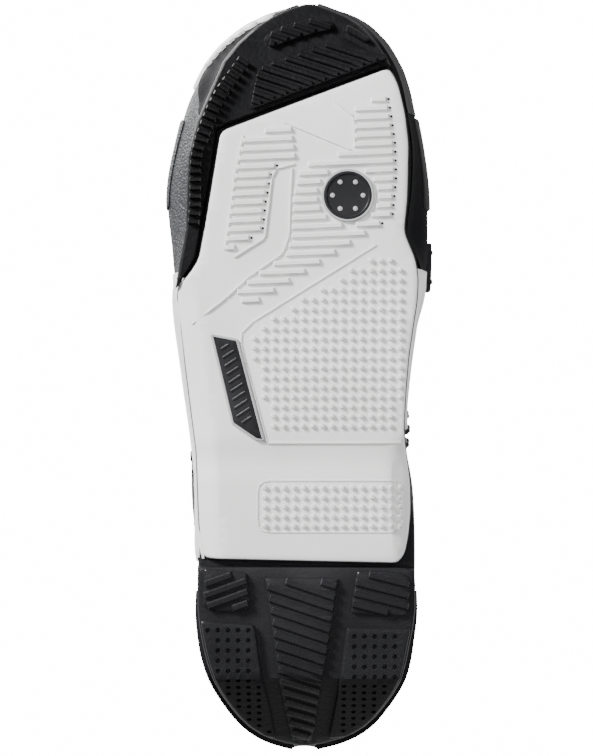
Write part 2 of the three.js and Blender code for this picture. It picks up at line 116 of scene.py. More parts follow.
class Shape:
    """Points in millimetres and faces of one piece, made into an object at the end."""

    def __init__(self):
        self.points, self.faces = [], []

    def add(self, points, faces):
        first = len(self.points)
        self.points += [tuple(p) for p in points]
        self.faces += [tuple(first + k for k in f) for f in faces]

    def piece(self, name, body, material, slot, *nodes, sharp=40, bevel=0.0, cuts=()):
        mesh = bpy.data.meshes.new(name)
        mesh.from_pydata([Vector(p) * 0.001 for p in self.points], [], self.faces)
        bm = bmesh.new()
        bm.from_mesh(mesh)
        bmesh.ops.remove_doubles(bm, verts=bm.verts, dist=1e-6)
        for point, away in cuts:
            everything = bm.verts[:] + bm.edges[:] + bm.faces[:]
            cut = bmesh.ops.bisect_plane(bm, geom=everything, plane_co=Vector(point) * 0.001, plane_no=away,
                                         clear_outer=True)
            rim = [e for e in cut["geom_cut"] if isinstance(e, bmesh.types.BMEdge)]
            bmesh.ops.triangle_fill(bm, edges=rim, use_beauty=True)
        bmesh.ops.recalc_face_normals(bm, faces=bm.faces)
        for face in bm.faces:
            face.smooth = True
        for edge in bm.edges:
            edge.smooth = len(edge.link_faces) < 2 or edge.calc_face_angle(0) < math.radians(sharp)
        bm.to_mesh(mesh)
        bm.free()
        obj = bpy.data.objects.new(name, mesh)
        bpy.context.scene.collection.objects.link(obj)
        mesh.materials.append(material)
        if bevel:
            rim = obj.modifiers.new("rounded_edges", "BEVEL")
            rim.width = bevel * 0.001
            rim.segments = 2
            rim.angle_limit = math.radians(sharp)
        if body:
            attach(obj, body)
        if nodes:
            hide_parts(*nodes)
        return obj


def rounded(points, radius, steps=3):
    """Closed outline with its corners rounded."""
    out = []
    for k, point in enumerate(points):
        p, a, b = Vector(point), Vector(points[k - 1]), Vector(points[(k + 1) % len(points)])
        reach = min(radius, (a - p).length * 0.45, (b - p).length * 0.45)
        p0, p2 = p + (a - p).normalized() * reach, p + (b - p).normalized() * reach
        for s in range(steps + 1):
            f = s / steps
            out.append((1 - f) ** 2 * p0 + 2 * f * (1 - f) * p + f * f * p2)
    return out


def divided(points, longest):
    """Closed outline with its long edges divided."""
    out = []
    for k, p in enumerate(points):
        p, q = Vector(p), Vector(points[(k + 1) % len(points)])
        parts = max(1, math.ceil((q - p).length / longest))
        out += [p.lerp(q, s / parts) for s in range(parts)]
    return out


def inset(points, by):
    """Closed outline moved inwards."""
    area = sum(points[k - 1].x * points[k].y - points[k].x * points[k - 1].y for k in range(len(points)))
    side = 1 if area > 0 else -1
    out = []
    for k, p in enumerate(points):
        a = (p - points[k - 1]).normalized()
        b = (points[(k + 1) % len(points)] - p).normalized()
        normal = Vector((-(a.y + b.y), a.x + b.x)).normalized() * side
        out.append(p + normal * by / max(0.6, abs(normal.dot(Vector((-a.y, a.x))))))
    return out


def circle(x, y, radius, sides):
    return [Vector((x + radius * math.cos(2 * math.pi * k / sides),
                    y + radius * math.sin(2 * math.pi * k / sides))) for k in range(sides)]


def under_sole(p, h):
    """Place under the sole: p is seen from below, and h goes up from its contact face."""
    return (p.x, p.y, sole_bottom(p.y) + h)


def within(outline, p):
    """Whether a point lies in a closed outline."""
    inside = False
    for k, a in enumerate(outline):
        b = outline[k - 1]
        if (a[1] > p[1]) != (b[1] > p[1]) and p[0] < (b[0] - a[0]) * (p[1] - a[1]) / (b[1] - a[1]) + a[0]:
            inside = not inside
    return inside


def quads(rows, across, ring=True, loop=False, capped=False):
    """Faces between rows of points. ring joins the ends of each row, loop the last row to the first."""
    faces = []
    for j in range(rows if loop else rows - 1):
        a, b = j * across, (j + 1) % rows * across
        faces += [(a + i, a + (i + 1) % across, b + (i + 1) % across, b + i)
                  for i in range(across if ring else across - 1)]
    last = (rows - 1) * across
    return faces + ([tuple(range(across)), tuple(range(last, last + across))] if capped else [])


def pad(shape, outline, profile, place=under_sole, holes=(), hole_depth=1.4, lines=(), grid=4.0, relief=None,
        back=None):
    """A moulded pad. profile gives (inset, height over its base surface) from its root to its face."""
    outline = divided(outline, grid)
    rings = [inset(outline, by) if by else outline for by, _ in profile]
    height = [h for _, h in profile]
    n = len(outline)
    for k in range(len(rings) - 1):
        points = [place(p, height[k]) for p in rings[k]] + [place(p, height[k + 1]) for p in rings[k + 1]]
        shape.add(points, quads(2, n))

    def face(rim, h, holes, lines, relief):
        points = list(rim)
        edges = [(i, (i + 1) % n) for i in range(n)]
        for hole in holes:
            first, m = len(points), len(hole)
            points += hole
            edges += [(first + i, first + (i + 1) % m) for i in range(m)]
        for line in lines:
            first = len(points)
            points += [Vector(p) for p in line]
            edges += [(first + i, first + i + 1) for i in range(len(line) - 1)]
        xs, ys = [p.x for p in rim], [p.y for p in rim]
        if max(ys) - min(ys) > 9:
            for i in range(math.ceil(min(xs) / grid), math.ceil(max(xs) / grid)):
                for j in range(math.ceil(min(ys) / grid), math.ceil(max(ys) / grid)):
                    points.append(Vector((i * grid, j * grid + grid / 2)))
        flat, _, tris, *_ = geometry.delaunay_2d_cdt(points, edges, [list(range(n))], 1, 1e-5)
        boxes = [(min(p.x for p in hole), max(p.x for p in hole), min(p.y for p in hole),
                  max(p.y for p in hole)) for hole in holes]
        kept = []
        for tri in tris:
            c = sum((flat[i] for i in tri), Vector((0, 0))) / 3
            if not any(x0 < c.x < x1 and y0 < c.y < y1 and within(hole, c)
                       for (x0, x1, y0, y1), hole in zip(boxes, holes)):
                kept.append(tri)
        fixed = {(round(p.x, 3), round(p.y, 3)) for p in list(rim) + [q for hole in holes for q in hole]}
        raised = [relief(p) if relief and (round(p.x, 3), round(p.y, 3)) not in fixed else 0 for p in flat]
        shape.add([place(p, h + up) for p, up in zip(flat, raised)], kept)

    face(rings[-1], height[-1], holes, lines, relief)
    if back is not None:
        face(rings[0], back, (), (), None)
    for hole in holes:
        m = len(hole)
        middle = sum(hole, Vector((0, 0))) / m
        floor = [middle.lerp(p, 0.8) for p in hole]
        points = [place(p, height[-1]) for p in hole] + [place(p, height[-1] + hole_depth) for p in floor]
        shape.add(points, quads(2, m) + [tuple(range(m, 2 * m))])


def bar(shape, a, b, width, root, face, place=under_sole, parts_of=8):
    """A moulded rib from a to b with a rounded crest and sloping ends."""
    a, b = Vector(a), Vector(b)
    along = (b - a).normalized()
    across = Vector((-along.y, along.x)) * width / 2
    edge = min(0.5, abs(root - face) * 0.3)
    fall = math.copysign(edge, root - face)
    section = [(-1, root), (-0.92, face + fall), (-0.6, face), (0.6, face), (0.92, face + fall), (1, root)]
    parts = max(1, round((b - a).length / parts_of))
    spots = [(a, 1), (a + along * edge, 0)]
    spots += [(a.lerp(b, k / parts), 0) for k in range(1, parts)]
    spots += [(b - along * edge, 0), (b, 1)]
    rows = []
    for spot, low in spots:
        for s, h in section:
            h = h if not low or h == root else face + fall * 1.6
            rows.append(place(spot + across * s, h))
    shape.add(rows, quads(len(spots), len(section), ring=False, capped=True))


def bars_across(shape, outline, degrees, pitch, width, root, face, place=under_sole, start=0.0, around=None):
    """Fills an outline with parallel ribs, broken where they would meet a round inlay."""
    turn = math.radians(degrees)
    along, up = Vector((math.cos(turn), math.sin(turn))), Vector((-math.sin(turn), math.cos(turn)))
    corners = [Vector(p) for p in outline]
    heights = [p.dot(up) for p in corners]
    h = math.ceil((min(heights) - start) / pitch) * pitch + start
    ends = []
    while h < max(heights):
        runs = []
        for level in (h - width * 0.45, h, h + width * 0.45):
            hits = []
            for k, p in enumerate(corners):
                q = corners[(k + 1) % len(corners)]
                hp, hq = p.dot(up) - level, q.dot(up) - level
                if (hp < 0) != (hq < 0):
                    hits.append(p.lerp(q, hp / (hp - hq)).dot(along))
            hits.sort()
            runs.append(list(zip(hits[::2], hits[1::2])))
        spans = []
        if len(runs[0]) == len(runs[1]) == len(runs[2]):
            spans = [(max(run[0] for run in same), min(run[1] for run in same)) for same in zip(*runs)]
        if around:
            x, y, radius = around
            off = Vector((x, y)).dot(up) - h
            if abs(off) < radius:
                middle, half = Vector((x, y)).dot(along), math.sqrt(radius ** 2 - off ** 2)
                spans = [part for s0, s1 in spans
                         for part in ((s0, min(s1, middle - half)), (max(s0, middle + half), s1))]
        for s0, s1 in spans:
            if s1 - s0 > 2.5:
                a, b = along * s0 + up * h, along * s1 + up * h
                bar(shape, a, b, width, root, face, place)
                ends.append((a, b))
        h += pitch
    return ends


def nub(shape, x, y, radius, root, face, place, sides=10):
    """A round pimple with a softened crown."""
    rings = [(radius, root), (radius, face + 0.45), (radius * 0.86, face + 0.12), (radius * 0.55, face)]
    points = [place(p, h) for r, h in rings for p in circle(x, y, r, sides)]
    shape.add(points, quads(len(rings), sides) + [tuple(range(len(points) - sides, len(points)))])


# Foot-peg grip insert: a softer white rubber moulding let into the outsole under the arch and ball of the
# foot, cross-ribbed for the peg, with rows of round nubs behind. It is bonded in with a dark seam round it.


def added(nodes, kind, values=None, **settings):
    """New shader node with its settings, and the values of its inputs by name or number."""
    node = nodes.new("ShaderNode" + kind)
    for label, value in settings.items():
        setattr(node, label, value)
    for socket, value in (values or {}).items():
        node.inputs[socket].default_value = value
    return node


def shared_effect(name, inputs, outputs):
    """Node group for an effect that materials share: the group, its nodes, its link call and its two ends."""
    group = bpy.data.node_groups.new(name, "ShaderNodeTree")
    for label, value in inputs.items():
        socket = group.interface.new_socket(label, in_out="INPUT", socket_type="NodeSocketFloat")
        socket.default_value = value
    for label in outputs:
        group.interface.new_socket(label, in_out="OUTPUT", socket_type="NodeSocketFloat")
    nodes = group.nodes
    return group, nodes, group.links.new, nodes.new("NodeGroupInput"), nodes.new("NodeGroupOutput")


def tone_group():
    """Mask that wanders slowly and finely over a surface, for uneven colour and gloss."""
    group, nodes, link, inputs, outputs = shared_effect(
        "uneven_tone", {"Broad": 20.0, "Fine": 400.0}, ("Tone", "Speckle"))
    place = added(nodes, "TexCoord")
    for source, target, detail in (("Broad", "Tone", 5), ("Fine", "Speckle", 2)):
        noise = added(nodes, "TexNoise", {"Detail": detail})
        spread = added(nodes, "MapRange", {"From Min": 0.3, "From Max": 0.7})
        link(place.outputs["Object"], noise.inputs["Vector"])
        link(inputs.outputs[source], noise.inputs["Scale"])
        link(noise.outputs["Fac"], spread.inputs["Value"])
        link(spread.outputs["Result"], outputs.inputs[target])
    return group


def scuff_group():
    """Mask of fine scratches running one way, broken up so that they come in patches."""
    group, nodes, link, inputs, outputs = shared_effect("scuffs", {"Scale": 60.0, "Amount": 0.3}, ("Scuff",))
    place = added(nodes, "TexCoord")
    stretch = added(nodes, "Mapping", {"Rotation": (0.3, 0.2, 0.6), "Scale": (1.0, 9.0, 7.0)})
    lines, patches = added(nodes, "TexNoise", {"Detail": 3}), added(nodes, "TexNoise", {"Scale": 30.0})
    sharp = added(nodes, "MapRange", {"From Min": 0.6, "From Max": 0.72})
    both, share = added(nodes, "Math", operation="MULTIPLY"), added(nodes, "Math", operation="MULTIPLY")
    link(place.outputs["Object"], stretch.inputs["Vector"])
    link(stretch.outputs["Vector"], lines.inputs["Vector"])
    link(place.outputs["Object"], patches.inputs["Vector"])
    link(inputs.outputs["Scale"], lines.inputs["Scale"])
    link(lines.outputs["Fac"], sharp.inputs["Value"])
    link(sharp.outputs["Result"], both.inputs[0])
    link(patches.outputs["Fac"], both.inputs[1])
    link(both.outputs["Value"], share.inputs[0])
    link(inputs.outputs["Amount"], share.inputs[1])
    link(share.outputs["Value"], outputs.inputs["Scuff"])
    return group


uneven_tone, scuffs = tone_group(), scuff_group()


def moulded(name, dark, light, rough, metal=0.0, speckle=500.0, bump=0.15, scuff=0.3, extra=None, shine=0.5):
    """Material of a moulded or coated surface: uneven tone, scuffs and a fine surface texture. extra is a
    shared effect, its scale and how far it darkens the colour."""
    material = bpy.data.materials.new(name)
    material.use_nodes = True
    nodes, link = material.node_tree.nodes, material.node_tree.links.new
    shader = nodes["Principled BSDF"]
    shader.inputs["Metallic"].default_value = metal
    shader.inputs["Specular IOR Level"].default_value = shine
    scuffed = [min(1, c * 0.8 + 0.05) for c in light]
    tone = added(nodes, "Group", {"Broad": 18.0, "Fine": speckle}, node_tree=uneven_tone)
    marks = added(nodes, "Group", {"Amount": scuff}, node_tree=scuffs)
    colour = added(nodes, "Mix", {"A": (*dark, 1), "B": (*light, 1)}, data_type="RGBA")
    worn = added(nodes, "Mix", {"B": (*scuffed, 1)}, data_type="RGBA")
    gloss = added(nodes, "MapRange", {"To Min": rough - 0.07, "To Max": rough + 0.08})
    relief = added(nodes, "Bump", {"Strength": bump, "Distance": 0.0004})
    link(tone.outputs["Tone"], colour.inputs["Factor"])
    link(colour.outputs["Result"], worn.inputs["A"])
    link(marks.outputs["Scuff"], worn.inputs["Factor"])
    link(tone.outputs["Tone"], gloss.inputs["Value"])
    link(gloss.outputs["Result"], shader.inputs["Roughness"])
    link(relief.outputs["Normal"], shader.inputs["Normal"])
    if extra:
        effect, scale, darkening = extra
        grain = added(nodes, "Group", {"Scale": scale}, node_tree=effect)
        deep = added(nodes, "Mix", {"Factor": darkening}, data_type="RGBA", blend_type="MULTIPLY")
        link(worn.outputs["Result"], deep.inputs["A"])
        link(grain.outputs["Height"], deep.inputs["B"])
        link(grain.outputs["Height"], relief.inputs["Height"])
        link(deep.outputs["Result"], shader.inputs["Base Color"])
    else:
        link(tone.outputs["Speckle"], relief.inputs["Height"])
        link(worn.outputs["Result"], shader.inputs["Base Color"])
    return material


fold_lateral = through((-60, -60), (-44, -46), (-30, -41.6), (32, -34.3), (62, -32.6), (79, -32.4))
fold_medial = through((20, 60), (27, 43), (34, 40), (60, 39.5), (72, 41), (79, 43))


def under_insert(p, h):
    """Place under the grip insert, which folds up at both flanks and arches over the waist."""
    lean = max(fold_lateral(p.y) - p.x, 0) * 0.62 if -58 < p.y else 0
    lean += max(p.x - fold_medial(p.y), 0) * 0.5 if p.y > 20 else 0
    arch = 1.1 * math.exp(-((p.y - 34.5) / 5.5) ** 4)
    return (p.x, p.y, sole_bottom(p.y) + lean + arch + h)


insert_outline = [(39.3, -131.1), (43, -123.8), (45.8, -111.5), (47.3, -98), (46.8, -75.6), (45.4, -61.7),
                  (47.4, -56.5), (50.2, -50), (51.4, -42), (50.9, -32), (49.3, -22), (47.4, -9), (46.3, 4),
                  (45.7, 15), (45.5, 24), (47, 34), (48.2, 44), (48.4, 56), (47.5, 66), (45.8, 74),
                  (42.6, 78), (-39.6, 76.2), (-41.5, 61.7), (-42.6, 31), (-44.7, 15), (-46.8, -1.5),
                  (-48.9, -19.5), (-50.6, -34), (-50.2, -37.8), (-48.1, -40.7), (-44, -45.6),
                  (-41.2, -50.5), (-38.7, -64.1), (-34.6, -88.6), (-32.2, -103.8)]
grip = Shape()
fold_lines = [[(fold_lateral(y), y) for y in range(-44, 73, 4)],
              [(fold_medial(y), y) for y in range(34, 72, 4)]]
white_face, white_root = 1.5, 6.0
dark_seam = 0.45
badge, badge_clearing = (21.5, -76.5), 12.6
insert_outline_full = rounded(insert_outline, 3.2)
seam_outline = inset(insert_outline_full, dark_seam)
pad(grip, seam_outline, [(0, white_root), (0, 2.6), (0.35, 1.8), (1.0, white_face)], under_insert,
    lines=fold_lines)
left_ribs = [(-22.4, -101.8), (-26.1, -84.5), (-28.1, -68.2), (-30.1, -53.5), (-27.7, -52.3), (-15, -60.9),
             (-13.8, -72.3), (-12.2, -80.5), (-10.6, -86.7), (-8.1, -88.6), (0.1, -90.3), (-2.4, -108.3)]
main_ribs = [
    (1.5, -89.5), (23.4, -97), (24.4, -102), (24.4, -115), (37.3, -120.3), (38.6, -112.6), (40.5, -98),
    (40.9, -83.2), (39.5, -67.4), (36, -64.3), (21.8, -55.2), (7.5, -46.2), (-6.9, -37.3), (-16, -31.5),
    (-26.5, -31.5), (-28.1, -34.2), (-18.8, -43.1), (-4.8, -52.3), (-2.2, -60), (-1.7, -76.3)]
rib_lean, rib_pitch, rib_width, rib_root, rib_face = -2.4, 3.72, 2.3, 2.0, 0.15
rib_ends = []
for field in (left_ribs, main_ribs):
    rib_ends += bars_across(grip, field, rib_lean, rib_pitch, rib_width, rib_root, rib_face, under_insert,
                            around=(*badge, badge_clearing))
nub_pitch, nub_radius, nub_root, nub_face = 4.08, 1.05, 1.9, 0.0
nub_field = [
    (34.3, -54.2), (39.3, -53.7), (43.6, -49.7), (48.3, -40), (48, -24), (45.4, -5), (44.4, 12), (44, 25.4),
    (-11, 25.4), (-15.4, 9.1), (-19.5, -6.4), (-21.6, -14.5), (-21.1, -18.6), (-17.1, -22.3)]
for row in range(21):
    for column in range(18):
        x, y = -17.9 + column * nub_pitch, -53.4 + row * nub_pitch
        if all(within(nub_field, (x + dx, y + dy)) for dx, dy in ((1.3, 0), (-1.3, 0), (0, 1.3), (0, -1.3))):
            nub(grip, x, y, nub_radius, nub_root, nub_face, under_insert)
for y in (45.9, 49.9, 53.9, 57.9, 61.9):
    for column in range(15):
        nub(grip, -13.4 + column * nub_pitch, y, nub_radius, nub_root, nub_face, under_insert)


def ridge(shape, line, width, root, face, place):
    """A narrow rib along a line of points."""
    for a, b in zip(line, line[1:]):
        bar(shape, a, b, width, root, face, place)


border = [(33.6, -56), (-18.4, -23.6), (-23, -19), (-23.4, -14.4), (-21.3, -6), (-17, 9.4), (-12.4, 27.2),
          (44.2, 27.2)]
ridge(grip, border, 0.9, rib_root, 1.0, under_insert)
rear_border = [tuple(p) for p in rounded([(-16.4, 43), (44.6, 43), (44.6, 64.6), (-16.4, 64.6)], 5)]
ridge(grip, rear_border + rear_border[:1], 0.8, rib_root, 1.1, under_insert)
step_borders = [
    [(-22.4, -101.8), (-26.1, -84.5), (-28.1, -68.2), (-30.1, -53.5)],
    [(-1.9, -88), (-2.6, -76.3), (-3.1, -60), (-5.8, -52.3), (-19.8, -42.6), (-29.6, -33.6), (-44, -22.6)],
    [(15.6, -116.2), (23.4, -110), (24.2, -107.4), (24.2, -98.2)],
    [(-5.6, -107.4), (22.6, -95.7)],
    [(-0.6, -89.8), (-8.6, -87.8), (-10.4, -84), (-13.4, -58.6), (-26.2, -50.6)]]
for line in step_borders:
    ridge(grip, line, 0.8, rib_root, 0.7, under_insert)
white_rubber = moulded("white grip rubber", (0.66, 0.66, 0.65), (0.75, 0.75, 0.745), 0.5, speckle=900,
                       bump=0.12, scuff=0.05)
grip.piece("peg_grip_insert", "foot", white_rubber, "white_rubber", "peg_grip_insert", sharp=38)

# Dark line round the grip insert, where the black backing shows between it and the outsole, with small
# black dots laid just medial of the rib ends as painted shadows of the ribs.
seam = Shape()
pad(seam, insert_outline_full, [(0, 6.2), (0, 3.2), (0.3, 2.7)], under_insert)
# Painted shadows: black dots on the white rubber just medial of each rib's end, where the rib's shadow falls.
painted_rib_end_shadows = [b for a, b in rib_ends if b.x > 22 and b.y < -62] + [b for a, b in rib_ends if b.x < -5 and b.y < -58]
for p in painted_rib_end_shadows:
    nub(seam, p.x + 0.9, p.y - 0.1, 0.62, 2.4, 1.25, under_insert, sides=8)
inlay_black = moulded("inlay black", (0.010, 0.010, 0.011), (0.018, 0.018, 0.02), 0.35, bump=0.05, scuff=0.1)
seam.piece("insert_seam_and_painted_shadows", "foot", inlay_black, "black_rubber")

# Inlays of the grip insert: a round disc in a raised ring, and a slanted bar in a bevelled frame, both hard
# plastic pressed into pockets of the white rubber.
disc = Shape()
pad(disc, circle(*badge, 10.4, 40), [(0, 2.4), (0, 0.25), (0.4, 0.0), (1.3, 0.0), (1.7, 0.5)], under_insert)
inlay_grey = moulded("inlay grey", (0.3, 0.3, 0.31), (0.4, 0.4, 0.41), 0.4, bump=0.05, scuff=0.1)
disc.piece("sole_badge_round", "foot", inlay_black, "badge_ring", "sole_badge_round")
band = Shape()
rim = circle(*badge, 11.1, 48)
section = [(0.0, 1.4), (0.0, 0.3), (0.35, 0.0), (0.95, 0.0), (1.2, 0.35), (1.2, 1.4)]
rows = [[under_insert(p, h) for p in inset(rim, by)] for by, h in section]
band.add([p for row in rows for p in row], quads(len(section), len(rim), loop=True))
for spot in circle(*badge, 6.4, 6):
    nub(band, spot.x, spot.y, 1.1, 0.8, 0.15, under_insert)
band.piece("sole_badge_ring", "foot", inlay_grey, "badge_ring")
bar_outline = rounded([(-36.2, -18.6), (-24.4, -16.4), (-21.6, -6), (-13.1, 26.4), (-16.6, 26.6),
                       (-27.2, 19.4)], 1.2)
plain_bar, bar_frame = Shape(), Shape()
pad(bar_frame, bar_outline, [(0, 2.0), (0, 0.55), (0.45, 0.2), (0.9, 0.2), (1.3, 0.9)], under_insert)
bar_frame.piece("sole_badge_frame", "foot", inlay_grey, "badge_ring")
pad(plain_bar, inset(bar_outline, 1.1), [(0, 2.0), (0, 0.5), (0.4, 0.25)], under_insert)
bars_across(plain_bar, inset(bar_outline, 2.6), -33, 3.4, 1.3, 0.5, 0.02, under_insert)
plain_bar.piece("sole_badge_bar", "foot", inlay_black, "badge_ring", "sole_badge_bar")

# Toe outsole: harder black rubber that wraps the toe, with a ribbed tread block, a crescent in front of it
# and a row of short teeth down the lateral edge. Moulded in one and bonded to the chassis.
rubber_black = moulded("black sole rubber", (0.003, 0.003, 0.0035), (0.006, 0.006, 0.007), 0.4, speckle=700,
                       bump=0.2, scuff=0.12, shine=0.3)
toe = Shape()
edge_lateral = [(sole_lateral(y), y) for y in (-50, -64, -80, -94, -108, -121, -134, -142, -149, -154,
                                               -157.5)]
edge_medial = [(sole_medial(y), y) for y in (-157.5, -154, -149, -142, -134)]
toe_outline = [(-51, -37.4)] + edge_lateral + [(3.5, -159.6), (7.5, -159.6)] + edge_medial
toe_outline += [(39.9, -131.9), (-28.6, -106.4), (-33.1, -104.4), (-35.4, -88.8), (-39.5, -64.4), (-42, -51),
                (-44.8, -45.9)]
toe_root, toe_channel, toe_block_root = 7.0, 3.4, 3.8
tread_lean, tread_pitch = 18.5, 3.64
pad(toe, toe_outline, [(0, toe_root), (0.0, 5.4), (0.5, 4.3), (1.3, toe_channel)])
tread = [(-16.3, -130.3), (-19.5, -114), (-18.6, -112.9), (38.3, -134.4), (37.6, -136.9), (30.5, -138.2),
         (19.7, -144.4), (9.9, -140.8), (0.9, -137.7), (-9.7, -134)]
pad(toe, tread, [(0, toe_block_root), (0.2, 1.9), (0.6, 1.5)])
bars_across(toe, tread, tread_lean, tread_pitch, 2.3, 2.0, 0.0, start=1.0)
crescent = rounded([(-14.6, -143.2), (-9.5, -147.4), (-4.1, -149.8), (5.8, -152.6), (14.8, -151.6),
                    (16.6, -147.6), (8, -145.6), (0, -143.2), (-10.5, -139.2)], 1.5)
pad(toe, crescent, [(0, toe_block_root), (0.2, 1.8), (0.6, 1.4)])
bars_across(toe, crescent, tread_lean, tread_pitch, 2.5, 1.7, 0.2, start=0.4)
tip_block = rounded([(21.3, -149.9), (26.2, -147.1), (31.1, -143.4), (29.8, -141.2), (20.4, -146.6)], 1.2)
pad(toe, tip_block, [(0, toe_block_root), (0.2, 0.7), (0.7, 0.1)])
teeth_line = [(-24.4, -134.4), (-28.9, -127.8), (-33.4, -121.3), (-36.7, -114.8), (-39.5, -107.8),
              (-42, -100.9), (-43.6, -94.4), (-44.4, -87), (-44.3, -79.7), (-44.4, -71.9), (-45.1, -64.5)]
tooth_pitch, tooth_width = 3.5, 2.1
spare = 0.0
for a, b in zip(teeth_line, teeth_line[1:]):
    a, b = Vector(a), Vector(b)
    along = (b - a).normalized()
    inward = Vector((-along.y, along.x))
    if inward.x < 0:
        inward = -inward
    while spare < (b - a).length:
        foot_of = a + along * spare
        reach = 5.4 if foot_of.y < -100 else 4.4
        bar(toe, foot_of - inward * 0.6, foot_of + inward * reach, tooth_width, toe_block_root, 0.2)
        spare += tooth_pitch
    spare -= (b - a).length
toe.piece("outsole_toe", "foot", rubber_black, "black_rubber", "outsole_toe", sharp=38)

# Heel outsole: one black rubber moulding with a grooved wedge down the middle, grooved blocks in front and
# dimpled blocks behind, parted by channels. Its rear is bevelled so that the heel rolls.
heel_rubber = moulded("black heel rubber", (0.009, 0.009, 0.010), (0.016, 0.016, 0.018), 0.34, speckle=600,
                      bump=0.15, scuff=0.14, shine=0.4)
heel = Shape()
heel_edge = [97, 105, 113, 120, 128, 134, 140, 145, 150, 153.5, 156, 158.4]
heel_outline = [(-41.6, 79.2), (-41.7, 88)] + [(sole_lateral(y), y) for y in heel_edge]
heel_outline += [(1.5, 159.8), (5.5, 159.8)] + [(sole_medial(y), y) for y in reversed(heel_edge)]
heel_outline += [(50, 88), (49.6, 80.4), (44, 79.4)]
heel_root, heel_channel, heel_block_root = 8.5, 3.0, 3.4
groove_pitch, groove_rib = 4.5, 3.1
pad(heel, heel_outline, [(0, heel_root), (0, 4.6), (0.4, 3.5), (1.2, heel_channel)])
wedge = [(-13.4, 83.7), (-10.6, 102.5), (-8.1, 123.8), (-5.7, 137.6), (-3.2, 149.9), (-1.9, 156.4),
         (6.6, 156.4), (7.8, 150.7), (9.1, 140.9), (10.7, 128.7), (13.2, 113.9), (15.6, 99.2), (17.6, 84.1)]
pad(heel, wedge, [(0, heel_block_root), (0.3, 1.6), (0.6, 1.4)])
bars_across(heel, wedge, tread_lean, groove_pitch, groove_rib, 1.8, 0.0, start=1.2)
block_lateral = [(-38.7, 79.9), (-20.7, 81.7), (-19.1, 94.3), (-20.4, 98), (-35, 98), (-39.6, 95.6)]
block_medial = [(25.4, 80.9), (43.4, 81.3), (47.6, 84), (47.4, 96.6), (45.6, 100.1), (22.6, 98.8)]
for outline, lean in ((block_lateral, -20), (block_medial, 14)):
    pad(heel, rounded(outline, 1.2), [(0, heel_block_root), (0.3, 1.5), (0.6, 1.3)])
    bars_across(heel, outline, lean, groove_pitch, groove_rib, 1.8, 0.0, start=0.6)


def dimpled(shape, outline, first_x, first_y, pitch=4.25, radius=1.05, margin=0.9):
    """Pad with a square grid of round blind holes. Rows close up where the bevel tilts them away."""
    outline = rounded(outline, 1.4)
    inner = inset(outline, margin)
    sides = ((radius, 0), (-radius, 0), (0, radius), (0, -radius))
    holes, y = [], first_y
    while y < 158:
        tilt = 1 if y < bevel_start else 0.735
        for column in range(-14, 15):
            x = first_x + column * pitch
            if all(within(inner, (x + dx, y + dy)) for dx, dy in sides):
                holes.append([Vector((p.x, y + (p.y - y) * tilt)) for p in circle(x, y, radius, 10)])
        y += pitch * tilt
    block = [(0, heel_block_root), (0.15, 0.9), (0.5, 0.2), (1.0, 0.0)]
    pad(shape, outline, block, holes=holes, hole_depth=1.5)


def edge_points(edge, first, last, count, inward):
    """Points along an edge of the sole, moved inwards."""
    ys = [first + (last - first) * k / (count - 1) for k in range(count)]
    return [(edge(y) + inward, y) for y in ys]


lateral_block = edge_points(sole_lateral, 101.7, 154.6, 12, 1.0) + [
    (-8.9, 155.6), (-11.3, 140.1), (-13.8, 128.7), (-15.4, 118.8), (-17.1, 105.7), (-17.9, 103.3)]
medial_block = edge_points(sole_medial, 104.9, 154.6, 12, -1.0) + [
    (13.8, 155.6), (16.4, 139.3), (18.5, 123.7), (20.6, 106.6), (21.3, 104.6)]
dimpled(heel, lateral_block, -37.2, 105.6)
dimpled(heel, medial_block, 24.2, 108.2)
heel.piece("outsole_heel", "foot", heel_rubber, "black_rubber", "outsole_heel", sharp=38)

# Sole chassis: hard black plastic between the outsole and the upper, lasted and bonded to both. A groove
# and a rounded lip run round its side.
chassis = Shape()
ring_y = [-159.3, -157.5, -154, -149, -142, -134, -121, -108, -94, -80, -64, -50, -36, -18, 0, 20, 40, 60,
          80, 97, 113, 128, 140, 150, 156, 159.3]


def in_chassis(p, h):
    """Place in the chassis: h runs from its underside, at 0, to the feather line, at 1."""
    low = sole_bottom(p.y) + 6.3 + 2.3 * math.exp(-((p.y - 12) / 66) ** 8)
    return (p.x, p.y, low + (feather(p.y) - low) * h)


def both_edges(ys, inward=0.0):
    """Closed outline of the sole, moved inwards from both edges."""
    lateral = [Vector((sole_lateral(y) + inward, y)) for y in ys]
    return lateral + [Vector((sole_medial(y) - inward, y)) for y in ys[::-1]]


side_wall = [(1.6, 0), (0.8, 0.08), (0.8, 0.42), (1.6, 0.5), (1.6, 0.62), (0.8, 0.7), (0.8, 0.92), (1.6, 1)]
pad(chassis, both_edges(ring_y), side_wall, in_chassis, back=0)
tpu_black = moulded("black moulded plastic", (0.006, 0.006, 0.007), (0.012, 0.012, 0.014), 0.4,
                    speckle=1500, bump=0.08, scuff=0.16, shine=0.35)
chassis.piece("sole_chassis", "foot", tpu_black, "black_tpu", "sole_chassis", sharp=30)

# Shank and insole board: a brushed steel stiffener let into the chassis and a pressed fibre board over it.
# The shapes from the frame are right, so they keep their meshes and get rounded edges and their finish.


def brushed_group():
    """Fine parallel lines along one way, as left by brushing or rolling."""
    group, nodes, link, inputs, outputs = shared_effect("brushed_lines", {"Scale": 300.0}, ("Height",))
    place, noise = added(nodes, "TexCoord"), added(nodes, "TexNoise", {"Detail": 4})
    stretch = added(nodes, "Mapping", {"Scale": (0.06, 1.0, 1.0)})
    link(place.outputs["Object"], stretch.inputs["Vector"])
    link(stretch.outputs["Vector"], noise.inputs["Vector"])
    link(inputs.outputs["Scale"], noise.inputs["Scale"])
    link(noise.outputs["Fac"], outputs.inputs["Height"])
    return group


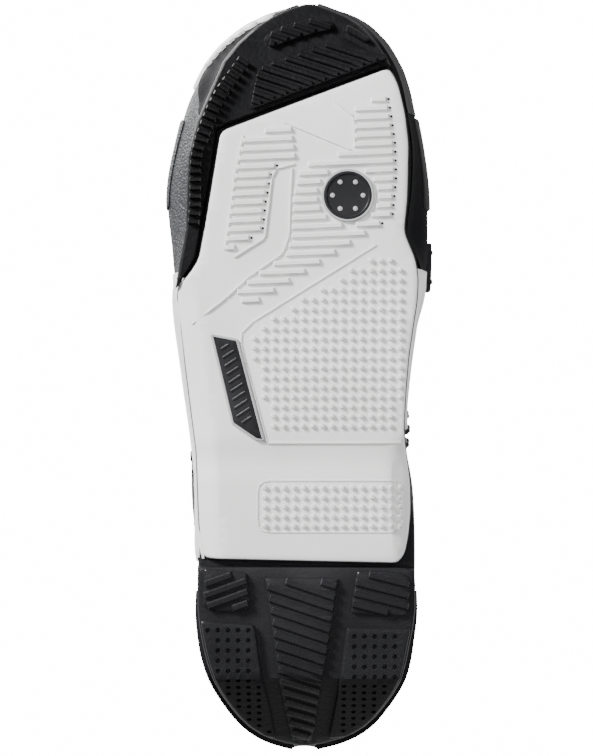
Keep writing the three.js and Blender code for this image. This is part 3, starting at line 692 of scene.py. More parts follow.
brushed_lines = brushed_group()
steel = moulded("brushed steel", (0.42, 0.42, 0.44), (0.6, 0.6, 0.62), 0.32, metal=1.0, bump=0.25, scuff=0.3,
                extra=(brushed_lines, 900.0, 0.25))
aluminium = moulded("blasted aluminium", (0.28, 0.285, 0.3), (0.4, 0.405, 0.42), 0.38, metal=1.0, bump=0.2,
                    scuff=0.35, speckle=1800)
fibreboard = moulded("pressed fibre board", (0.3, 0.21, 0.13), (0.46, 0.34, 0.22), 0.85, speckle=1200,
                     bump=0.4)


def finish_node(name, material, bevel):
    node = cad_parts[name]
    node.data.materials.clear()
    node.data.materials.append(material)
    rim = node.modifiers.new("rounded_edges", "BEVEL")
    rim.width = bevel * 0.001
    rim.segments = 2


finish_node("steel_shank", steel, 0.4)
finish_node("insole_board", fibreboard, 0.5)

# Footbed: a moulded foam insole with a knitted top, cupped at the heel and a little hollow along the
# middle. It lies loose on the insole board.


def knit_group():
    """Woven or knitted threads over and under each other, in object space."""
    group, nodes, link, inputs, outputs = shared_effect("woven_threads", {"Scale": 600.0}, ("Height",))
    place, turned_to = added(nodes, "TexCoord"), added(nodes, "Mapping", {"Rotation": (0.7, 0.2, 0.75)})
    link(place.outputs["Object"], turned_to.inputs["Vector"])
    waves = []
    for way in ("X", "Y", "Z"):
        wave = added(nodes, "TexWave", {"Distortion": 0.6}, bands_direction=way)
        link(turned_to.outputs["Vector"], wave.inputs["Vector"])
        link(inputs.outputs["Scale"], wave.inputs["Scale"])
        waves.append(wave)
    crossed = added(nodes, "Math", operation="MULTIPLY")
    soft = added(nodes, "Math", {1: 0.7}, operation="MULTIPLY")
    upper = added(nodes, "Math", operation="MAXIMUM")
    link(waves[0].outputs["Fac"], crossed.inputs[0])
    link(waves[1].outputs["Fac"], crossed.inputs[1])
    link(waves[2].outputs["Fac"], soft.inputs[0])
    link(crossed.outputs["Value"], upper.inputs[0])
    link(soft.outputs["Value"], upper.inputs[1])
    link(upper.outputs["Value"], outputs.inputs["Height"])
    return group


woven_threads = knit_group()
lining_cloth = moulded("black lining cloth", (0.012, 0.012, 0.014), (0.03, 0.03, 0.034), 0.85, bump=0.5,
                       scuff=0.0, extra=(woven_threads, 420.0, 0.6))
collar_cloth = moulded("collar knit", (0.03, 0.03, 0.033), (0.05, 0.05, 0.056), 0.8, bump=0.6, scuff=0.0,
                       extra=(woven_threads, 300.0, 0.5))
bed = Shape()
bed_y = [-147, -143, -136, -126, -112, -95, -75, -55, -35, -15, 5, 25, 45, 65, 85, 105, 122, 135, 143, 147]
bed_clearance = 9.6


def on_board(p, h):
    return (p.x, p.y, feather(p.y) + 2.7 + h)


def bed_shape(p):
    middle = (sole_lateral(p.y) + sole_medial(p.y)) / 2
    side = (p.x - middle) / 40
    cupped, hollow = (1.6 if p.y > 40 else 0.6), (1.0 if p.y > 60 else 0.4)
    return 1.6 * side * side * cupped - hollow * max(0, 1 - side * side)


pad(bed, both_edges(bed_y, bed_clearance), [(0, 0), (0, 2.2), (0.7, 3.0), (1.6, 3.2)], on_board,
    relief=bed_shape, back=0, grid=6.0)
footbed = bed.piece("footbed", "foot", collar_cloth, "foam", "footbed")

# Foot upper: a vamp and two quarters cut from grained microfibre, lasted under to the sole and sewn to each
# other. The vamp is pleated across the toe joint, and the quarters bulge over the ankle padding.


def foot_point(t, y):
    """A point of the upper's surface. t runs over the foot from 0 at its lateral edge to 1 at the medial."""
    base = feather(y) + 0.3
    left, right = upper_lateral(y), upper_medial(y)
    half, middle, height = (right - left) / 2, (left + right) / 2, upper_top(y) - base
    c, s = math.cos(math.pi * t), math.sin(math.pi * t)
    r = ((abs(c) / half) ** 2.6 + (abs(s) / height) ** 2.6) ** (-1 / 2.6)
    rim, widest = (sole_lateral(y), left) if c > 0 else (sole_medial(y), right)
    edge = (rim - middle) / (widest - middle)
    f = unit(r * s / 16)
    bulge = edge + (1 - edge) * f * f * (3 - 2 * f)
    return Vector((middle - r * c * bulge, y, base + r * s))


upper_lateral = through((-160, 3), (-156, -15), (-146, -29.5), (-135, -38.5), (-120, -47), (-100, -52.5),
                        (-78, -56), (-55, -54), (-35, -52), (0, -48), (25, -44.5), (45, -42.5), (97, -42.3),
                        (113, -40), (128, -35.5), (140, -29), (150, -21), (156, -12), (160, 1))
upper_medial = through((-160, 7), (-156, 25), (-146, 37), (-135, 43.5), (-120, 49.5), (-100, 54),
                       (-78, 56.5), (-42, 55.5), (-20, 50), (0, 47.5), (12, 46), (25, 46.5), (50, 50.5),
                       (97, 50.8), (113, 48), (128, 44.5), (140, 38), (150, 30), (156, 20), (160, 6))
upper_top = through(
    (-160, 46), (-150, 63), (-135, 74), (-110, 82), (-85, 90), (-60, 101), (-35, 116), (-10, 136), (20, 168),
    (105, 170), (125, 148), (133, 127), (141, 98), (150, 71), (160, 46))
foot_girth, foot_end = 240.0, 159.4


def over_foot(p, h):
    """p.x runs over the foot from its lateral to its medial edge, p.y along it, and h stands off it."""
    t, y = p.x / foot_girth, min(max(p.y, -foot_end), foot_end)
    over = foot_point(t + 1e-3, y) - foot_point(t - 1e-3, y)
    along = foot_point(t, min(y + 0.05, 159.45)) - foot_point(t, max(y - 0.05, -159.45))
    return foot_point(t, y) + over.cross(along).normalized() * h


def spaced(a, b, pitch, edge=0.0):
    """Values from a to b, with two closer together at each end for a rounded border."""
    n = max(1, round((b - a - 2 * edge) / pitch))
    inner = [a + edge + (b - a - 2 * edge) * k / n for k in range(n + 1)]
    return [a, a + edge * 0.35] + inner + [b - edge * 0.35, b] if edge else inner


def along_foot(y0, y1, count, edge=0.0):
    """Values of Y from y0 to y1, closer together towards the toe and the heel."""
    w0, w1 = (math.asin(y / foot_end) for y in (y0, y1))
    inner = [foot_end * math.sin(w0 + (w1 - w0) * k / count) for k in range(count + 1)]
    if not edge:
        return inner
    inner[0], inner[-1] = y0 + edge, y1 - edge
    return [y0, y0 + edge * 0.35] + inner + [y1 - edge * 0.35, y1]


border_share = (0.5, 0.88, 1)


def skin(shape, place, us, vs, low, high, relief=None, ring=False):
    """A sheet lying over a surface between two offsets, with its borders rounded off."""
    n, m = len(us), len(vs)
    points = []
    for j, v in enumerate(vs):
        for i, u in enumerate(us):
            side = min(j, m - 1 - j) if ring else min(i, n - 1 - i, j, m - 1 - j)
            share = border_share[min(side, 2)]
            h = low + (high - low + (relief(u, v) if relief else 0)) * share
            points.append(place(Vector((u, v)), h))
    points += [place(Vector((u, v)), low) for v in vs for u in us]
    faces, back = [], n * m
    for a, b, c, d in quads(m, n, ring):
        faces += [(a, b, c, d), (back + a, back + d, back + c, back + b)]
    for i in range(n if ring else n - 1):
        for j in (0, m - 1):
            a, b = j * n + i, j * n + (i + 1) % n
            faces.append((a, b, back + b, back + a))
    if not ring:
        for j in range(m - 1):
            for i in (0, n - 1):
                a, b = j * n + i, (j + 1) * n + i
                faces.append((a, b, back + b, back + a))
    shape.add(points, faces)


def crease(value, middle, width):
    """A rounded bump of height 1."""
    return math.exp(-((value - middle) / width) ** 2)


def stitches(shape, place, line, height, pitch=3.4, length=2.3):
    """A row of thread stitches along a line."""
    spare = 0.6
    for a, b in zip(line, line[1:]):
        a, b = Vector(a), Vector(b)
        along = (b - a).normalized()
        while spare + length < (b - a).length:
            start, end = a + along * spare, a + along * (spare + length)
            bar(shape, start, end, 0.75, height - 0.2, height + 0.3, place, 40)
            spare += pitch
        spare = 0.4


def grain_group():
    """Pebble grain of coated microfibre: small rounded cells with fine pores."""
    group, nodes, link, inputs, outputs = shared_effect("pebble_grain", {"Scale": 700.0}, ("Height",))
    place, cells, pores = added(nodes, "TexCoord"), added(nodes, "TexVoronoi"), added(nodes, "TexNoise")
    domes = added(nodes, "MapRange", {"From Max": 0.8, "To Min": 1.0, "To Max": 0.2})
    both = added(nodes, "Math", operation="MULTIPLY")
    boost = added(nodes, "Math", {1: 2.0}, operation="MULTIPLY")
    for texture in (cells, pores):
        link(place.outputs["Object"], texture.inputs["Vector"])
        link(inputs.outputs["Scale"], texture.inputs["Scale"])
    link(cells.outputs["Distance"], domes.inputs["Value"])
    link(domes.outputs["Result"], both.inputs[0])
    link(pores.outputs["Fac"], both.inputs[1])
    link(both.outputs["Value"], boost.inputs[0])
    link(boost.outputs["Value"], outputs.inputs["Height"])
    return group


pebble_grain = grain_group()
microfibre = moulded("grained microfibre", (0.035, 0.036, 0.039), (0.058, 0.059, 0.063), 0.42, bump=0.8,
                     scuff=0.12, extra=(pebble_grain, 900.0, 0.45))
thread_grey = moulded("bonded thread", (0.05, 0.05, 0.054), (0.09, 0.09, 0.095), 0.6, bump=0.3, scuff=0.0)
pleats = (-58, -50, -42, -34)


def vamp_relief(g, y):
    over = math.exp(-((g / foot_girth - 0.5) / 0.27) ** 4)
    return over * sum(-1.1 * crease(y, at, 1.9) + 0.5 * crease(y, at + 4, 2.2) for at in pleats)


vamp = Shape()
skin(vamp, over_foot, spaced(0, foot_girth, 5.0), along_foot(-foot_end, -22, 72), -3, 0, vamp_relief)
vamp.piece("vamp", "foot", microfibre, "grey_microfibre", "vamp")


def quarter_relief(g, y):
    side = min(g, foot_girth - g)
    ankle = math.exp(-(((y - 62) / 30) ** 2 + ((side - 88) / 24) ** 2) ** 2)
    seam_a = crease(side - 0.35 * (y - 20), 46, 1.3)
    seam_b = crease(y - 0.25 * side, 88, 1.3)
    return 0.8 * ankle - 0.7 * max(seam_a, seam_b)


quarter_y = along_foot(-21.7, foot_end, 66)
ankle_opening = ((0, 0, 126), (0, 0, 1))
for name, g0, g1 in (("quarter_lateral", 0, 119.8), ("quarter_medial", 120.2, foot_girth)):
    quarter = Shape()
    skin(quarter, over_foot, spaced(g0, g1, 4.0), quarter_y, -3, 0, quarter_relief)
    quarter.piece(name, "foot", microfibre, "grey_microfibre", name, cuts=[ankle_opening])

# Foot lining: a soft cloth sleeve inside the upper, open at the ankle.
inside = Shape()
skin(inside, over_foot, spaced(15, 225, 10.0), along_foot(-151, 151, 40), -6.6, -3.9)
inside.piece("foot_lining", "foot", lining_cloth, "lining", "foot_lining", cuts=[ankle_opening])

# Side walls of the grip insert: the white rubber carries on up both sides of the waist and is bonded to the
# chassis and the upper, with a thin rolled edge. On the inner side it stops under the arch.
walls = Shape()
insert_lateral = through((-44, -48.5), (-34, -50.6), (-19.5, -48.9), (-1.5, -46.8), (15, -44.7), (31, -42.6),
                         (61.7, -41.5), (76.2, -40.6))
insert_medial = through((-50, 50.2), (-42, 51.4), (-32, 50.9), (-22, 49.3), (-9, 47.4), (4, 46.3), (15, 45.7),
                        (24, 45.5))


def beside_insert(edge, side):
    """Place on the flank: p.x runs from the rim of the grip insert, 0, to the foot of its side wall, 1."""
    def place(p, h):
        low = under_insert(Vector((edge(p.y) - side * 1.1, p.y)), 2.1)
        wall = over_foot(Vector((1.0 if side < 0 else foot_girth - 1.0, p.y)), 0.9)
        return (low[0] + (wall.x - low[0]) * p.x ** 0.7 + side * h, p.y, low[2] + (wall.z - low[2]) * p.x)
    return place


def wall_relief(g, y):
    return -1.0 * max(crease(y, -44, 7), crease(y, 80, 5)) - 0.35 * crease(min(g, foot_girth - g), 15, 1.2)


skin(walls, over_foot, spaced(-1.5, 20, 3.0, 1.2), along_foot(-45, 78, 30, 1.2), 0.1, 1.75, wall_relief)
skin(walls, over_foot, spaced(220, 241.5, 3.0, 1.2), along_foot(-46, 22, 20, 1.2), 0.1, 1.75, wall_relief)
skin(walls, beside_insert(insert_lateral, -1), spaced(0, 1, 0.2), along_foot(-42, 76, 60), -0.6, 0.5)
skin(walls, beside_insert(insert_medial, 1), spaced(0, 1, 0.2), along_foot(-46, 20, 40), -0.6, 0.5)
walls.piece("insert_side_walls", "foot", white_rubber, "white_rubber", sharp=50)

# Toe cap and rand: a black plastic cap moulded round the toe and sewn to the vamp, with shallow ribs over
# the top. The rand is a thin matt rubber facing, bonded on low down round the outer side of the toe and
# along the inner side of the foot to the waist.


def end_tab(shape, side, x0, x1, z0, z1, inner, outer):
    """Rounded tab that closes a moulding at the very tip of the toe or heel."""
    domed = [(0, inner), (0, outer - 2.8), (1.2, outer - 1.7), (3.2, outer - 0.7), (5.5, outer - 0.1),
             (6.5, outer)]
    pad(shape, rounded([(x0, z0), (x1, z0), (x1 - 2, z1), (x0 + 2, z1)], 4), domed,
        lambda p, h: (p.x, side * h, p.y), back=inner)


def cap_relief(g, y):
    top = math.exp(-((g / foot_girth - 0.52) / 0.2) ** 4)
    ribs = sum(crease(g, 70 + 12 * k, 2.2) for k in range(10))
    thin = unit((g - 192) / 14) * unit((y + 132) / 16)
    return top * 0.7 * ribs * unit((-118 - y) / 6) * unit((y + 150) / 8) - 1.8 * thin


cap = Shape()
end_tab(cap, -1, -6, 16, 30.5, 47, 156, 161.6)
skin(cap, over_foot, spaced(45.5, foot_girth, 3.0, 1.4), along_foot(-foot_end, -113, 40, 1.4), 0.4, 2.7,
     cap_relief)
cap.piece("toe_cap", "foot", tpu_black, "black_tpu", "toe_cap", sharp=50)
rand = Shape()
rand_outline = rounded([(0, -159.3), (30, -159.3), (30, -140), (21, -128), (9, -117), (6, -112), (0, -112)],
                       3)
pad(rand, rand_outline, [(0, 0.1), (0, 0.6), (0.4, 0.9)], over_foot, back=0.1, grid=3.0)
skin(rand, over_foot, spaced(200, foot_girth, 4.0), along_foot(-118, -36, 30), 0.05, 0.4)
rand_rubber = moulded("matt rand rubber", (0.004, 0.004, 0.005), (0.008, 0.008, 0.009), 0.6, speckle=900,
                      bump=0.15, scuff=0.1, shine=0.08)
rand.piece("side_rand", "foot", rand_rubber, "black_tpu", sharp=50)

# Lateral toe panel: smooth white plastic wrapped round the outer side of the toe, with a saw-toothed lower
# edge.
white_plastic = moulded("white plastic", (0.7, 0.7, 0.69), (0.8, 0.8, 0.79), 0.35, speckle=1500, bump=0.05,
                        scuff=0.08)
side_panel = Shape()
saw_pitch = 3.2
toothed = []
for k in range(7):
    y = -155.6 + saw_pitch * k
    toothed += [Vector((21.5, y)), Vector((21.5, y + saw_pitch / 2)), Vector((27.5, y + saw_pitch * 0.75))]
panel_outline = toothed + [Vector((29, -131.5)), Vector((34, -125)), Vector((42, -134)), Vector((40, -150)),
                           Vector((30, -156.5))]
pad(side_panel, panel_outline, [(0, 0.3), (0, 1.9), (0.3, 2.4), (0.8, 2.6)], over_foot, back=0.3, grid=3.0)
side_panel.piece("toe_side_panel", "foot", white_plastic, "white_tpu", "toe_side_panel", sharp=45)

# Shift guard on the inner side and a softer guard on the outer side, behind the toe cap. Both are bonded
# and sewn to the vamp, and thin out towards the sole. The shift guard has grip ribs where it meets the
# lever.


def thinned(edge):
    """Place over the foot for a guard that thins out towards the sole."""
    def place(p, h):
        t = unit(abs(p.x - edge) / 20)
        return over_foot(p, h * (0.25 + 0.75 * t * t * (3 - 2 * t)))
    return place


shift = Shape()
shift_outline = rounded([(165.5, -111), (165.5, -76), (176, -72.6), (226, -72.6), (226, -111.8),
                         (172, -111.8)], 3)
pad(shift, shift_outline, [(0, 0.4), (0, 2.0), (0.4, 2.6), (1.1, 2.8)], thinned(226), back=0.4)
grip_area = [(171, -106.5), (171, -78), (206, -78), (206, -106.5)]
bars_across(shift, grip_area, 62, 4.2, 2.0, 2.7, 3.4, over_foot)
shift.piece("shift_guard", "foot", tpu_black, "black_tpu", "shift_guard", sharp=40)
guard = Shape()
guard_outline = rounded([(17, -111.4), (17, -73), (50, -73), (59.4, -80), (59.4, -107), (52, -111.4)], 3)
pad(guard, guard_outline, [(0, 0.4), (0, 1.5), (0.4, 2.0), (1.4, 2.2)], thinned(17), back=0.4,
    relief=lambda p: 0.5 * math.exp(-(((p.x - 30) / 18) ** 2 + ((p.y + 92) / 12) ** 2)))
guard.piece("lateral_guard", "foot", microfibre, "grey_microfibre", "lateral_guard", sharp=45)

# Heel cup: one black plastic shell round the back of the foot, bonded to the quarters, with a horizontal
# ledge and a pair of grooves. It thins out towards its front edge.


def heel_cup_relief(g, y):
    z = foot_point(g / foot_girth, y).z
    ledges = 1.1 * crease(z, 84, 3.0) - 0.9 * crease(z, 62, 1.6) - 0.9 * crease(z, 54, 1.6)
    return ledges - 1.7 * (1 - unit((y - 90 - 0.38 * (z - 15)) / 26))


cup = Shape()
end_tab(cup, 1, -9, 19, 36.5, 62, 155, 160.9)
skin(cup, over_foot, spaced(0, foot_girth, 4.0, 1.2), along_foot(90, foot_end, 36, 1.2), 0.4, 2.8,
     heel_cup_relief)
cup.piece("heel_cup", "foot", tpu_black, "black_tpu", "heel_cup", sharp=50,
          cuts=[((0, 0, 108), (0, 0, 1)), ((0, 90, 15), (0, -0.935, 0.355))])

# Stitching of the foot: bonded thread in two rows behind the toe cap, in one row round the outer guard, and
# down the seams of both quarters.
foot_thread = Shape()
for back in (1.6, 4.4):
    stitches(foot_thread, over_foot, [(g, -113 - back) for g in range(50, 190, 12)], 2.75)
stitches(foot_thread, over_foot, [(36, -75.5), (49, -75.5), (56.5, -81), (56.5, -106), (50, -109)], 2.2)
for flip in (0, 1):
    seam_line = [(46 + 0.35 * (y - 20) + 3.2, y) for y in range(-16, 86, 8)]
    rear_line = [(s, 88 + 0.25 * s - 3) for s in range(6, 60, 6)]
    for line in (seam_line, rear_line):
        stitches(foot_thread, over_foot, [(foot_girth - g if flip else g, y) for g, y in line], 0.05)
foot_thread.piece("foot_stitching", "foot", thread_grey, "webbing")

# Ankle bellows and ankle lining: soft pleated rubber at the front and rear of the ankle, and a padded cloth
# sleeve inside. They are sewn to the foot below and to the cuff above.
shaft_front = through((110, -28), (126, -18), (160, -5), (200, -8), (250, -16), (300, -24), (380, -34))
shaft_rear = through((110, 137), (126, 133), (160, 124), (200, 121), (250, 122), (300, 120), (380, 111))
shaft_half = through((110, 44), (160, 46), (200, 48), (250, 51), (300, 53), (380, 55))


shaft_centre, squareness = 4, 2.4


def on_shaft(a, z, h):
    """A point off the shaft's surface. a is the angle round it, from the inner side towards the rear."""
    front, rear, half = shaft_front(z), shaft_rear(z), shaft_half(z)

    def at(a):
        c, s = math.cos(a), math.sin(a)
        across, lengthwise = abs(c) / half, abs(s) / ((rear - front) / 2)
        r = (across ** squareness + lengthwise ** squareness) ** (-1 / squareness)
        return Vector((shaft_centre + r * c, (front + rear) / 2 + r * s, z))
    p = at(a)
    along = at(a + 1e-3) - p
    return p + Vector((along.y, -along.x, 0)).normalized() * h


def round_shaft(p, h):
    """p.x is the angle round the shaft in degrees and p.y the height."""
    return on_shaft(math.radians(p.x), p.y, h)


def cross_ankle(obj):
    """Bakes a soft piece's placement into its mesh."""
    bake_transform(obj)


soft_rubber = moulded("pleated soft rubber", (0.01, 0.01, 0.011), (0.02, 0.02, 0.022), 0.55, speckle=1200,
                      bump=0.2, scuff=0.1)
for name, a0, a1 in (("front_bellows", 222, 318), ("rear_bellows", 45, 135)):
    folds = Shape()
    skin(folds, round_shaft, spaced(a0, a1, 2.4, 1.2), spaced(124.5, 152.5, 1.0, 0.8), -2.6, -0.9,
         lambda a, z: 1.4 * math.sin((z - 126) * 2 * math.pi / 6.2))
    cross_ankle(folds.piece(name, None, soft_rubber, "black_rubber", name, sharp=60))
sleeve = Shape()
skin(sleeve, round_shaft, spaced(0, 360, 5.0)[:-1], spaced(119, 161.5, 1.7, 0.8), -8.4, -5.0,
     lambda a, z: 0.9 * abs(math.sin((z - 119) * math.pi / 8.5)), ring=True)
ankle_lining = sleeve.piece("ankle_lining", None, lining_cloth, "lining", "ankle_lining", sharp=60)
cross_ankle(ankle_lining)

# Pivot bolts: steel bolts with a low domed head and a round socket, one through each ankle ear into the
# foot.


def turned(shape, start, along, profile, sides=24):
    """A round piece on an axis: profile gives (distance along it, radius)."""
    start, along = Vector(start), Vector(along).normalized()
    over = along.orthogonal().normalized()
    side = along.cross(over)
    points = [start + along * d + (over * math.cos(2 * math.pi * k / sides)
                                   + side * math.sin(2 * math.pi * k / sides)) * r
              for d, r in profile for k in range(sides)]
    shape.add(points, quads(len(profile), sides, capped=True))


bolt_profile = [(38, 2.6), (38.4, 3), (45.8, 3), (45.8, 6.1), (46.1, 6.5), (46.9, 6.5), (47.6, 6.0),
                (48.1, 4.6), (48.2, 3.4), (48.1, 3.1), (46.9, 2.9)]
for name, side in (("pivot_bolt_lateral", -1), ("pivot_bolt_medial", 1)):
    bolt = Shape()
    turned(bolt, (4, 62, 118), (side, 0, 0), bolt_profile, 36)
    bolt.piece(name, "foot", steel, "steel", name, sharp=35)

# Cuff: the stiff black plastic frame of the shaft, open at the front. Its two ears reach down to the pivot
# bolts, and it has a raised border, pressed-in vents and cross ribs at the rear.
cuff = Shape()
ear = [(7 + 13.5 * math.sin(math.radians(k)), 118 - 13 * math.cos(math.radians(k)))
       for k in range(-90, 91, 15)]
cuff_outline = [(-31, 349.6), (-31, 152), (-22, 151.4), (-16, 146)] + ear
cuff_outline += [(27, 146), (34, 151.4), (90, 152.5), (146, 151.4), (153, 146)]
cuff_outline += [(180 - x, z) for x, z in ear[::-1]]
cuff_outline += [(196, 146), (202, 151.4), (212, 152), (212, 349.6), (150, 349.6), (120, 348), (90, 347),
                 (60, 348), (30, 349.6)]


def slot(x, y, length, width, lean=0.0):
    """Outline of a long hole with round ends."""
    ends = [(math.cos(math.radians(k)) * width / 2,
             math.sin(math.radians(k)) * width / 2 + length / 2 - width / 2) for k in range(0, 181, 30)]
    ring = ends + [(-u, -v) for u, v in ends]
    c, s = math.cos(lean), math.sin(lean)
    return [Vector((x + u * c - v * s, y + u * s + v * c)) for u, v in ring]


def cuff_relief(p):
    rear = math.exp(-((p.x - 90) / 36) ** 4)
    low = 0.8 * crease(p.y, 168, 4.5) + 0.9 * crease(p.y, 338, 5)
    return low + 0.7 * rear * crease(p.y, 182, 3)


vents = [slot(136 + 6.5 * k, 322 - 1.5 * k, 17, 4.4, -0.5) for k in range(4)]
vents += [slot(22 - 6.5 * k, 330 - 1.5 * k, 15, 4.4, 0.5) for k in range(4)]
pad(cuff, rounded(cuff_outline, 3), [(0, -3), (0, -0.7), (0.35, -0.15), (0.9, 0)], round_shaft, holes=vents,
    hole_depth=-1.6, relief=cuff_relief, back=-3, grid=3.6)
for z in (158, 163.4):
    bar(cuff, (56, z), (124, z), 1.8, -0.1, 0.9, round_shaft, 3)
for flip in (0, 1):
    for k in range(5):
        a = 136 + 5.4 * k
        ends = ((a, 184 + 3 * k), (a + 3.6, 240 - 4 * k))
        bar(cuff, *[(180 - x if flip else x, z) for x, z in ends], 2.2, -0.1, 0.9, round_shaft, 5)
cuff.piece("cuff", "shaft", tpu_black, "black_tpu", "cuff", sharp=35)

# Shin plate: a long moulded guard over the front, hinged along its inner edge on a soft ribbed strip.
# Between the straps it has a raised spine and borders, with slanting slots beside the spine.
strap_heights = (192, 248, 304)
plate = Shape()
plate_outline = rounded([(206, 168.4), (334.5, 168.4), (334.5, 345.6), (300, 345.6), (270, 341), (240, 345.6),
                         (206, 345.6)], 6)


def plate_relief(p):
    spine = 1.1 * math.exp(-((p.x - 270) / 9) ** 4)
    border = 0.5 * crease(p.x, 322, 3) + 0.5 * crease(p.x, 218, 3)
    bands = sum(crease(p.y, z, 9.5) for z in strap_heights)
    return (spine + border) * max(0, 1 - bands)


plate_slots = [slot(a, z, 20, 5, lean) for z in (220, 276)
               for a, lean in ((246, 0.35), (256, 0.35), (284, -0.35), (294, -0.35))]
pad(plate, plate_outline, [(0, 0.5), (0, 2.5), (0.4, 3.1), (1.2, 3.3)], round_shaft, holes=plate_slots,
    hole_depth=-1.2, relief=plate_relief, back=0.5, grid=3.6)
for z in (328, 333.5):
    bar(plate, (232, z), (308, z), 1.9, 3.2, 4.1, round_shaft, 3)
plate.piece("shin_plate", "shin_flap", tpu_black, "black_tpu", "shin_plate", sharp=35)
strip = Shape()
skin(strip, round_shaft, spaced(337.5, 345, 1.2, 0.5), spaced(168.3, 345.7, 1.6, 0.8), 0.5, 2.3,
     lambda a, z: 0.45 * math.cos((a - 341.2) * 2.4))
strip.piece("shin_hinge_strip", "shaft", soft_rubber, "black_rubber", "shin_hinge_strip", sharp=60)

# Inner boot: the padded cloth liner of the shaft, quilted in horizontal channels.
liner = Shape()
skin(liner, round_shaft, spaced(0, 360, 5.0)[:-1], spaced(161.2, 353.6, 3.1, 1.0), -8.0, -4.6,
     lambda a, z: 0.5 * abs(math.sin((z - 161) * math.pi / 21)), ring=True)
inner_boot = liner.piece("inner_boot", "shaft", lining_cloth, "lining", "inner_boot", sharp=60)

# Collar: a stuffed knit roll round the top, sewn down in upright channels. It is swelled as cloth under
# pressure, held at its channels and its lower seam, and sits just over the inner boot.
roll = Shape()
around = 96
loop = [(-7.6, 351), (-1.6, 351), (-1.2, 357), (-1.3, 364), (-2.2, 369.5), (-4.4, 371.8), (-6.6, 370),
        (-7.7, 364), (-7.8, 357)]
rows = [[on_shaft(2 * math.pi * k / around, z, h) for h, z in loop] for k in range(around)]
roll.add([p for row in rows for p in row], quads(around, len(loop), loop=True))
collar = roll.piece("top_collar", None, collar_cloth, "foam", "top_collar", sharp=80)
finer = collar.modifiers.new("finer", "SUBSURF")
finer.levels = finer.render_levels = 1
bpy.context.view_layer.objects.active = collar
bpy.ops.object.modifier_apply(modifier="finer")
channel_step, lower_seam, most_swell, collar_top = 24, 0.3525, 0.0022, 0.3748
channels = collar.vertex_groups.new(name="channels")
for v in collar.data.vertices:
    turn = math.degrees(math.atan2(v.co.y - 0.044, v.co.x - 0.004)) % channel_step
    if min(turn, channel_step - turn) < 1.1 or v.co.z < lower_seam:
        channels.add([v.index], 1.0, "REPLACE")
before = [v.co.copy() for v in collar.data.vertices]
swell = collar.modifiers.new("swell", "CLOTH")
swell.settings.use_pressure = True
swell.settings.uniform_pressure_force = 4
swell.settings.effector_weights.gravity = 0
swell.settings.vertex_group_mass = "channels"
swell.settings.quality = 5
swell.point_cache.frame_end = 20
for step in range(1, 21):
    bpy.context.scene.frame_set(step)
bpy.ops.object.modifier_apply(modifier="swell")
bpy.context.scene.frame_set(1)
for v, rest in zip(collar.data.vertices, before):
    moved = v.co - rest
    if moved.length > most_swell:
        v.co = rest + moved.normalized() * most_swell
    v.co.z = min(v.co.z, collar_top)
for edge in collar.data.edges:
    edge.use_edge_sharp = False
smooth = collar.modifiers.new("smooth", "SUBSURF")
smooth.levels = smooth.render_levels = 1
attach(collar, "shaft")

# Burn guard on the inner side: thick black rubber with slanting grip ribs, moulded in one and sewn to the
# cuff. The calf guard behind it is grained microfibre over foam, with pleats that let it bend.
burn = Shape()
burn_outline = rounded([(-7, 184), (-7, 296), (4, 305.5), (57, 305.5), (57, 206), (44, 182.5), (0, 182.5)], 6)
pad(burn, burn_outline, [(0, 0.9), (0, 2.3), (0.5, 2.9), (1.3, 3.0)], round_shaft, back=0.9, grid=3.6)
bars_across(burn, inset(burn_outline, 5), 38, 5.4, 2.6, 2.9, 3.7, round_shaft)
burn.piece("burn_guard", "shaft", rubber_black, "black_rubber", "burn_guard", sharp=40)
calf = Shape()
calf_outline = rounded([(67, 191), (67, 304), (123, 304), (123, 191)], 7)
pad(calf, calf_outline, [(0, 0.9), (0, 1.8), (0.6, 2.4), (1.8, 2.5)], round_shaft, back=0.9, grid=2.4,
    relief=lambda p: 0.55 * math.cos((p.y - 191) * 2 * math.pi / 14.1) * math.exp(-((p.x - 95) / 22) ** 6))
calf.piece("calf_guard", "shaft", microfibre, "grey_microfibre", "calf_guard", sharp=60)

# Pull loop: a folded tape of woven webbing sewn to the back of the cuff, standing off it for a finger.
webbing = moulded("woven webbing", (0.014, 0.014, 0.015), (0.03, 0.03, 0.033), 0.8, bump=0.8, scuff=0.0,
                  extra=(woven_threads, 520.0, 0.6))
tape = Shape()
lean = 0.125
middle = Vector((4, shaft_rear(344) + 2.6, 344))
side_view = [(-2.2, -42), (-1.9, -32), (-1.6, -26.5), (-0.6, -24.4), (3, -23), (6.4, -22.2), (9.4, -20.4),
             (11.3, -17), (12, -10), (12.1, 0), (12, 10), (11.3, 17), (9.4, 20.4), (6.4, 22.2), (3, 22.8),
             (-1, 23), (-3.2, 20), (-4.4, 12)]
tape_section = [(-8, 0.5), (-7.4, 0.9), (0, 1.05), (7.4, 0.9), (8, 0.5), (8, -0.5), (7.4, -0.9), (0, -1.05),
                (-7.4, -0.9), (-8, -0.5)]
rows = []
for k, (out, up) in enumerate(side_view):
    a, b = side_view[max(k - 1, 0)], side_view[min(k + 1, len(side_view) - 1)]
    along = Vector((b[0] - a[0], b[1] - a[1])).normalized()
    for x, thick in tape_section:
        y, z = out + along.y * thick, up - along.x * thick
        y, z = y * math.cos(lean) - z * math.sin(lean), y * math.sin(lean) + z * math.cos(lean)
        rows.append(middle + Vector((x, y, z)))
tape.add(rows, quads(len(side_view), len(tape_section), capped=True))
tape.piece("pull_loop", "shaft", webbing, "webbing", "pull_loop", sharp=50)

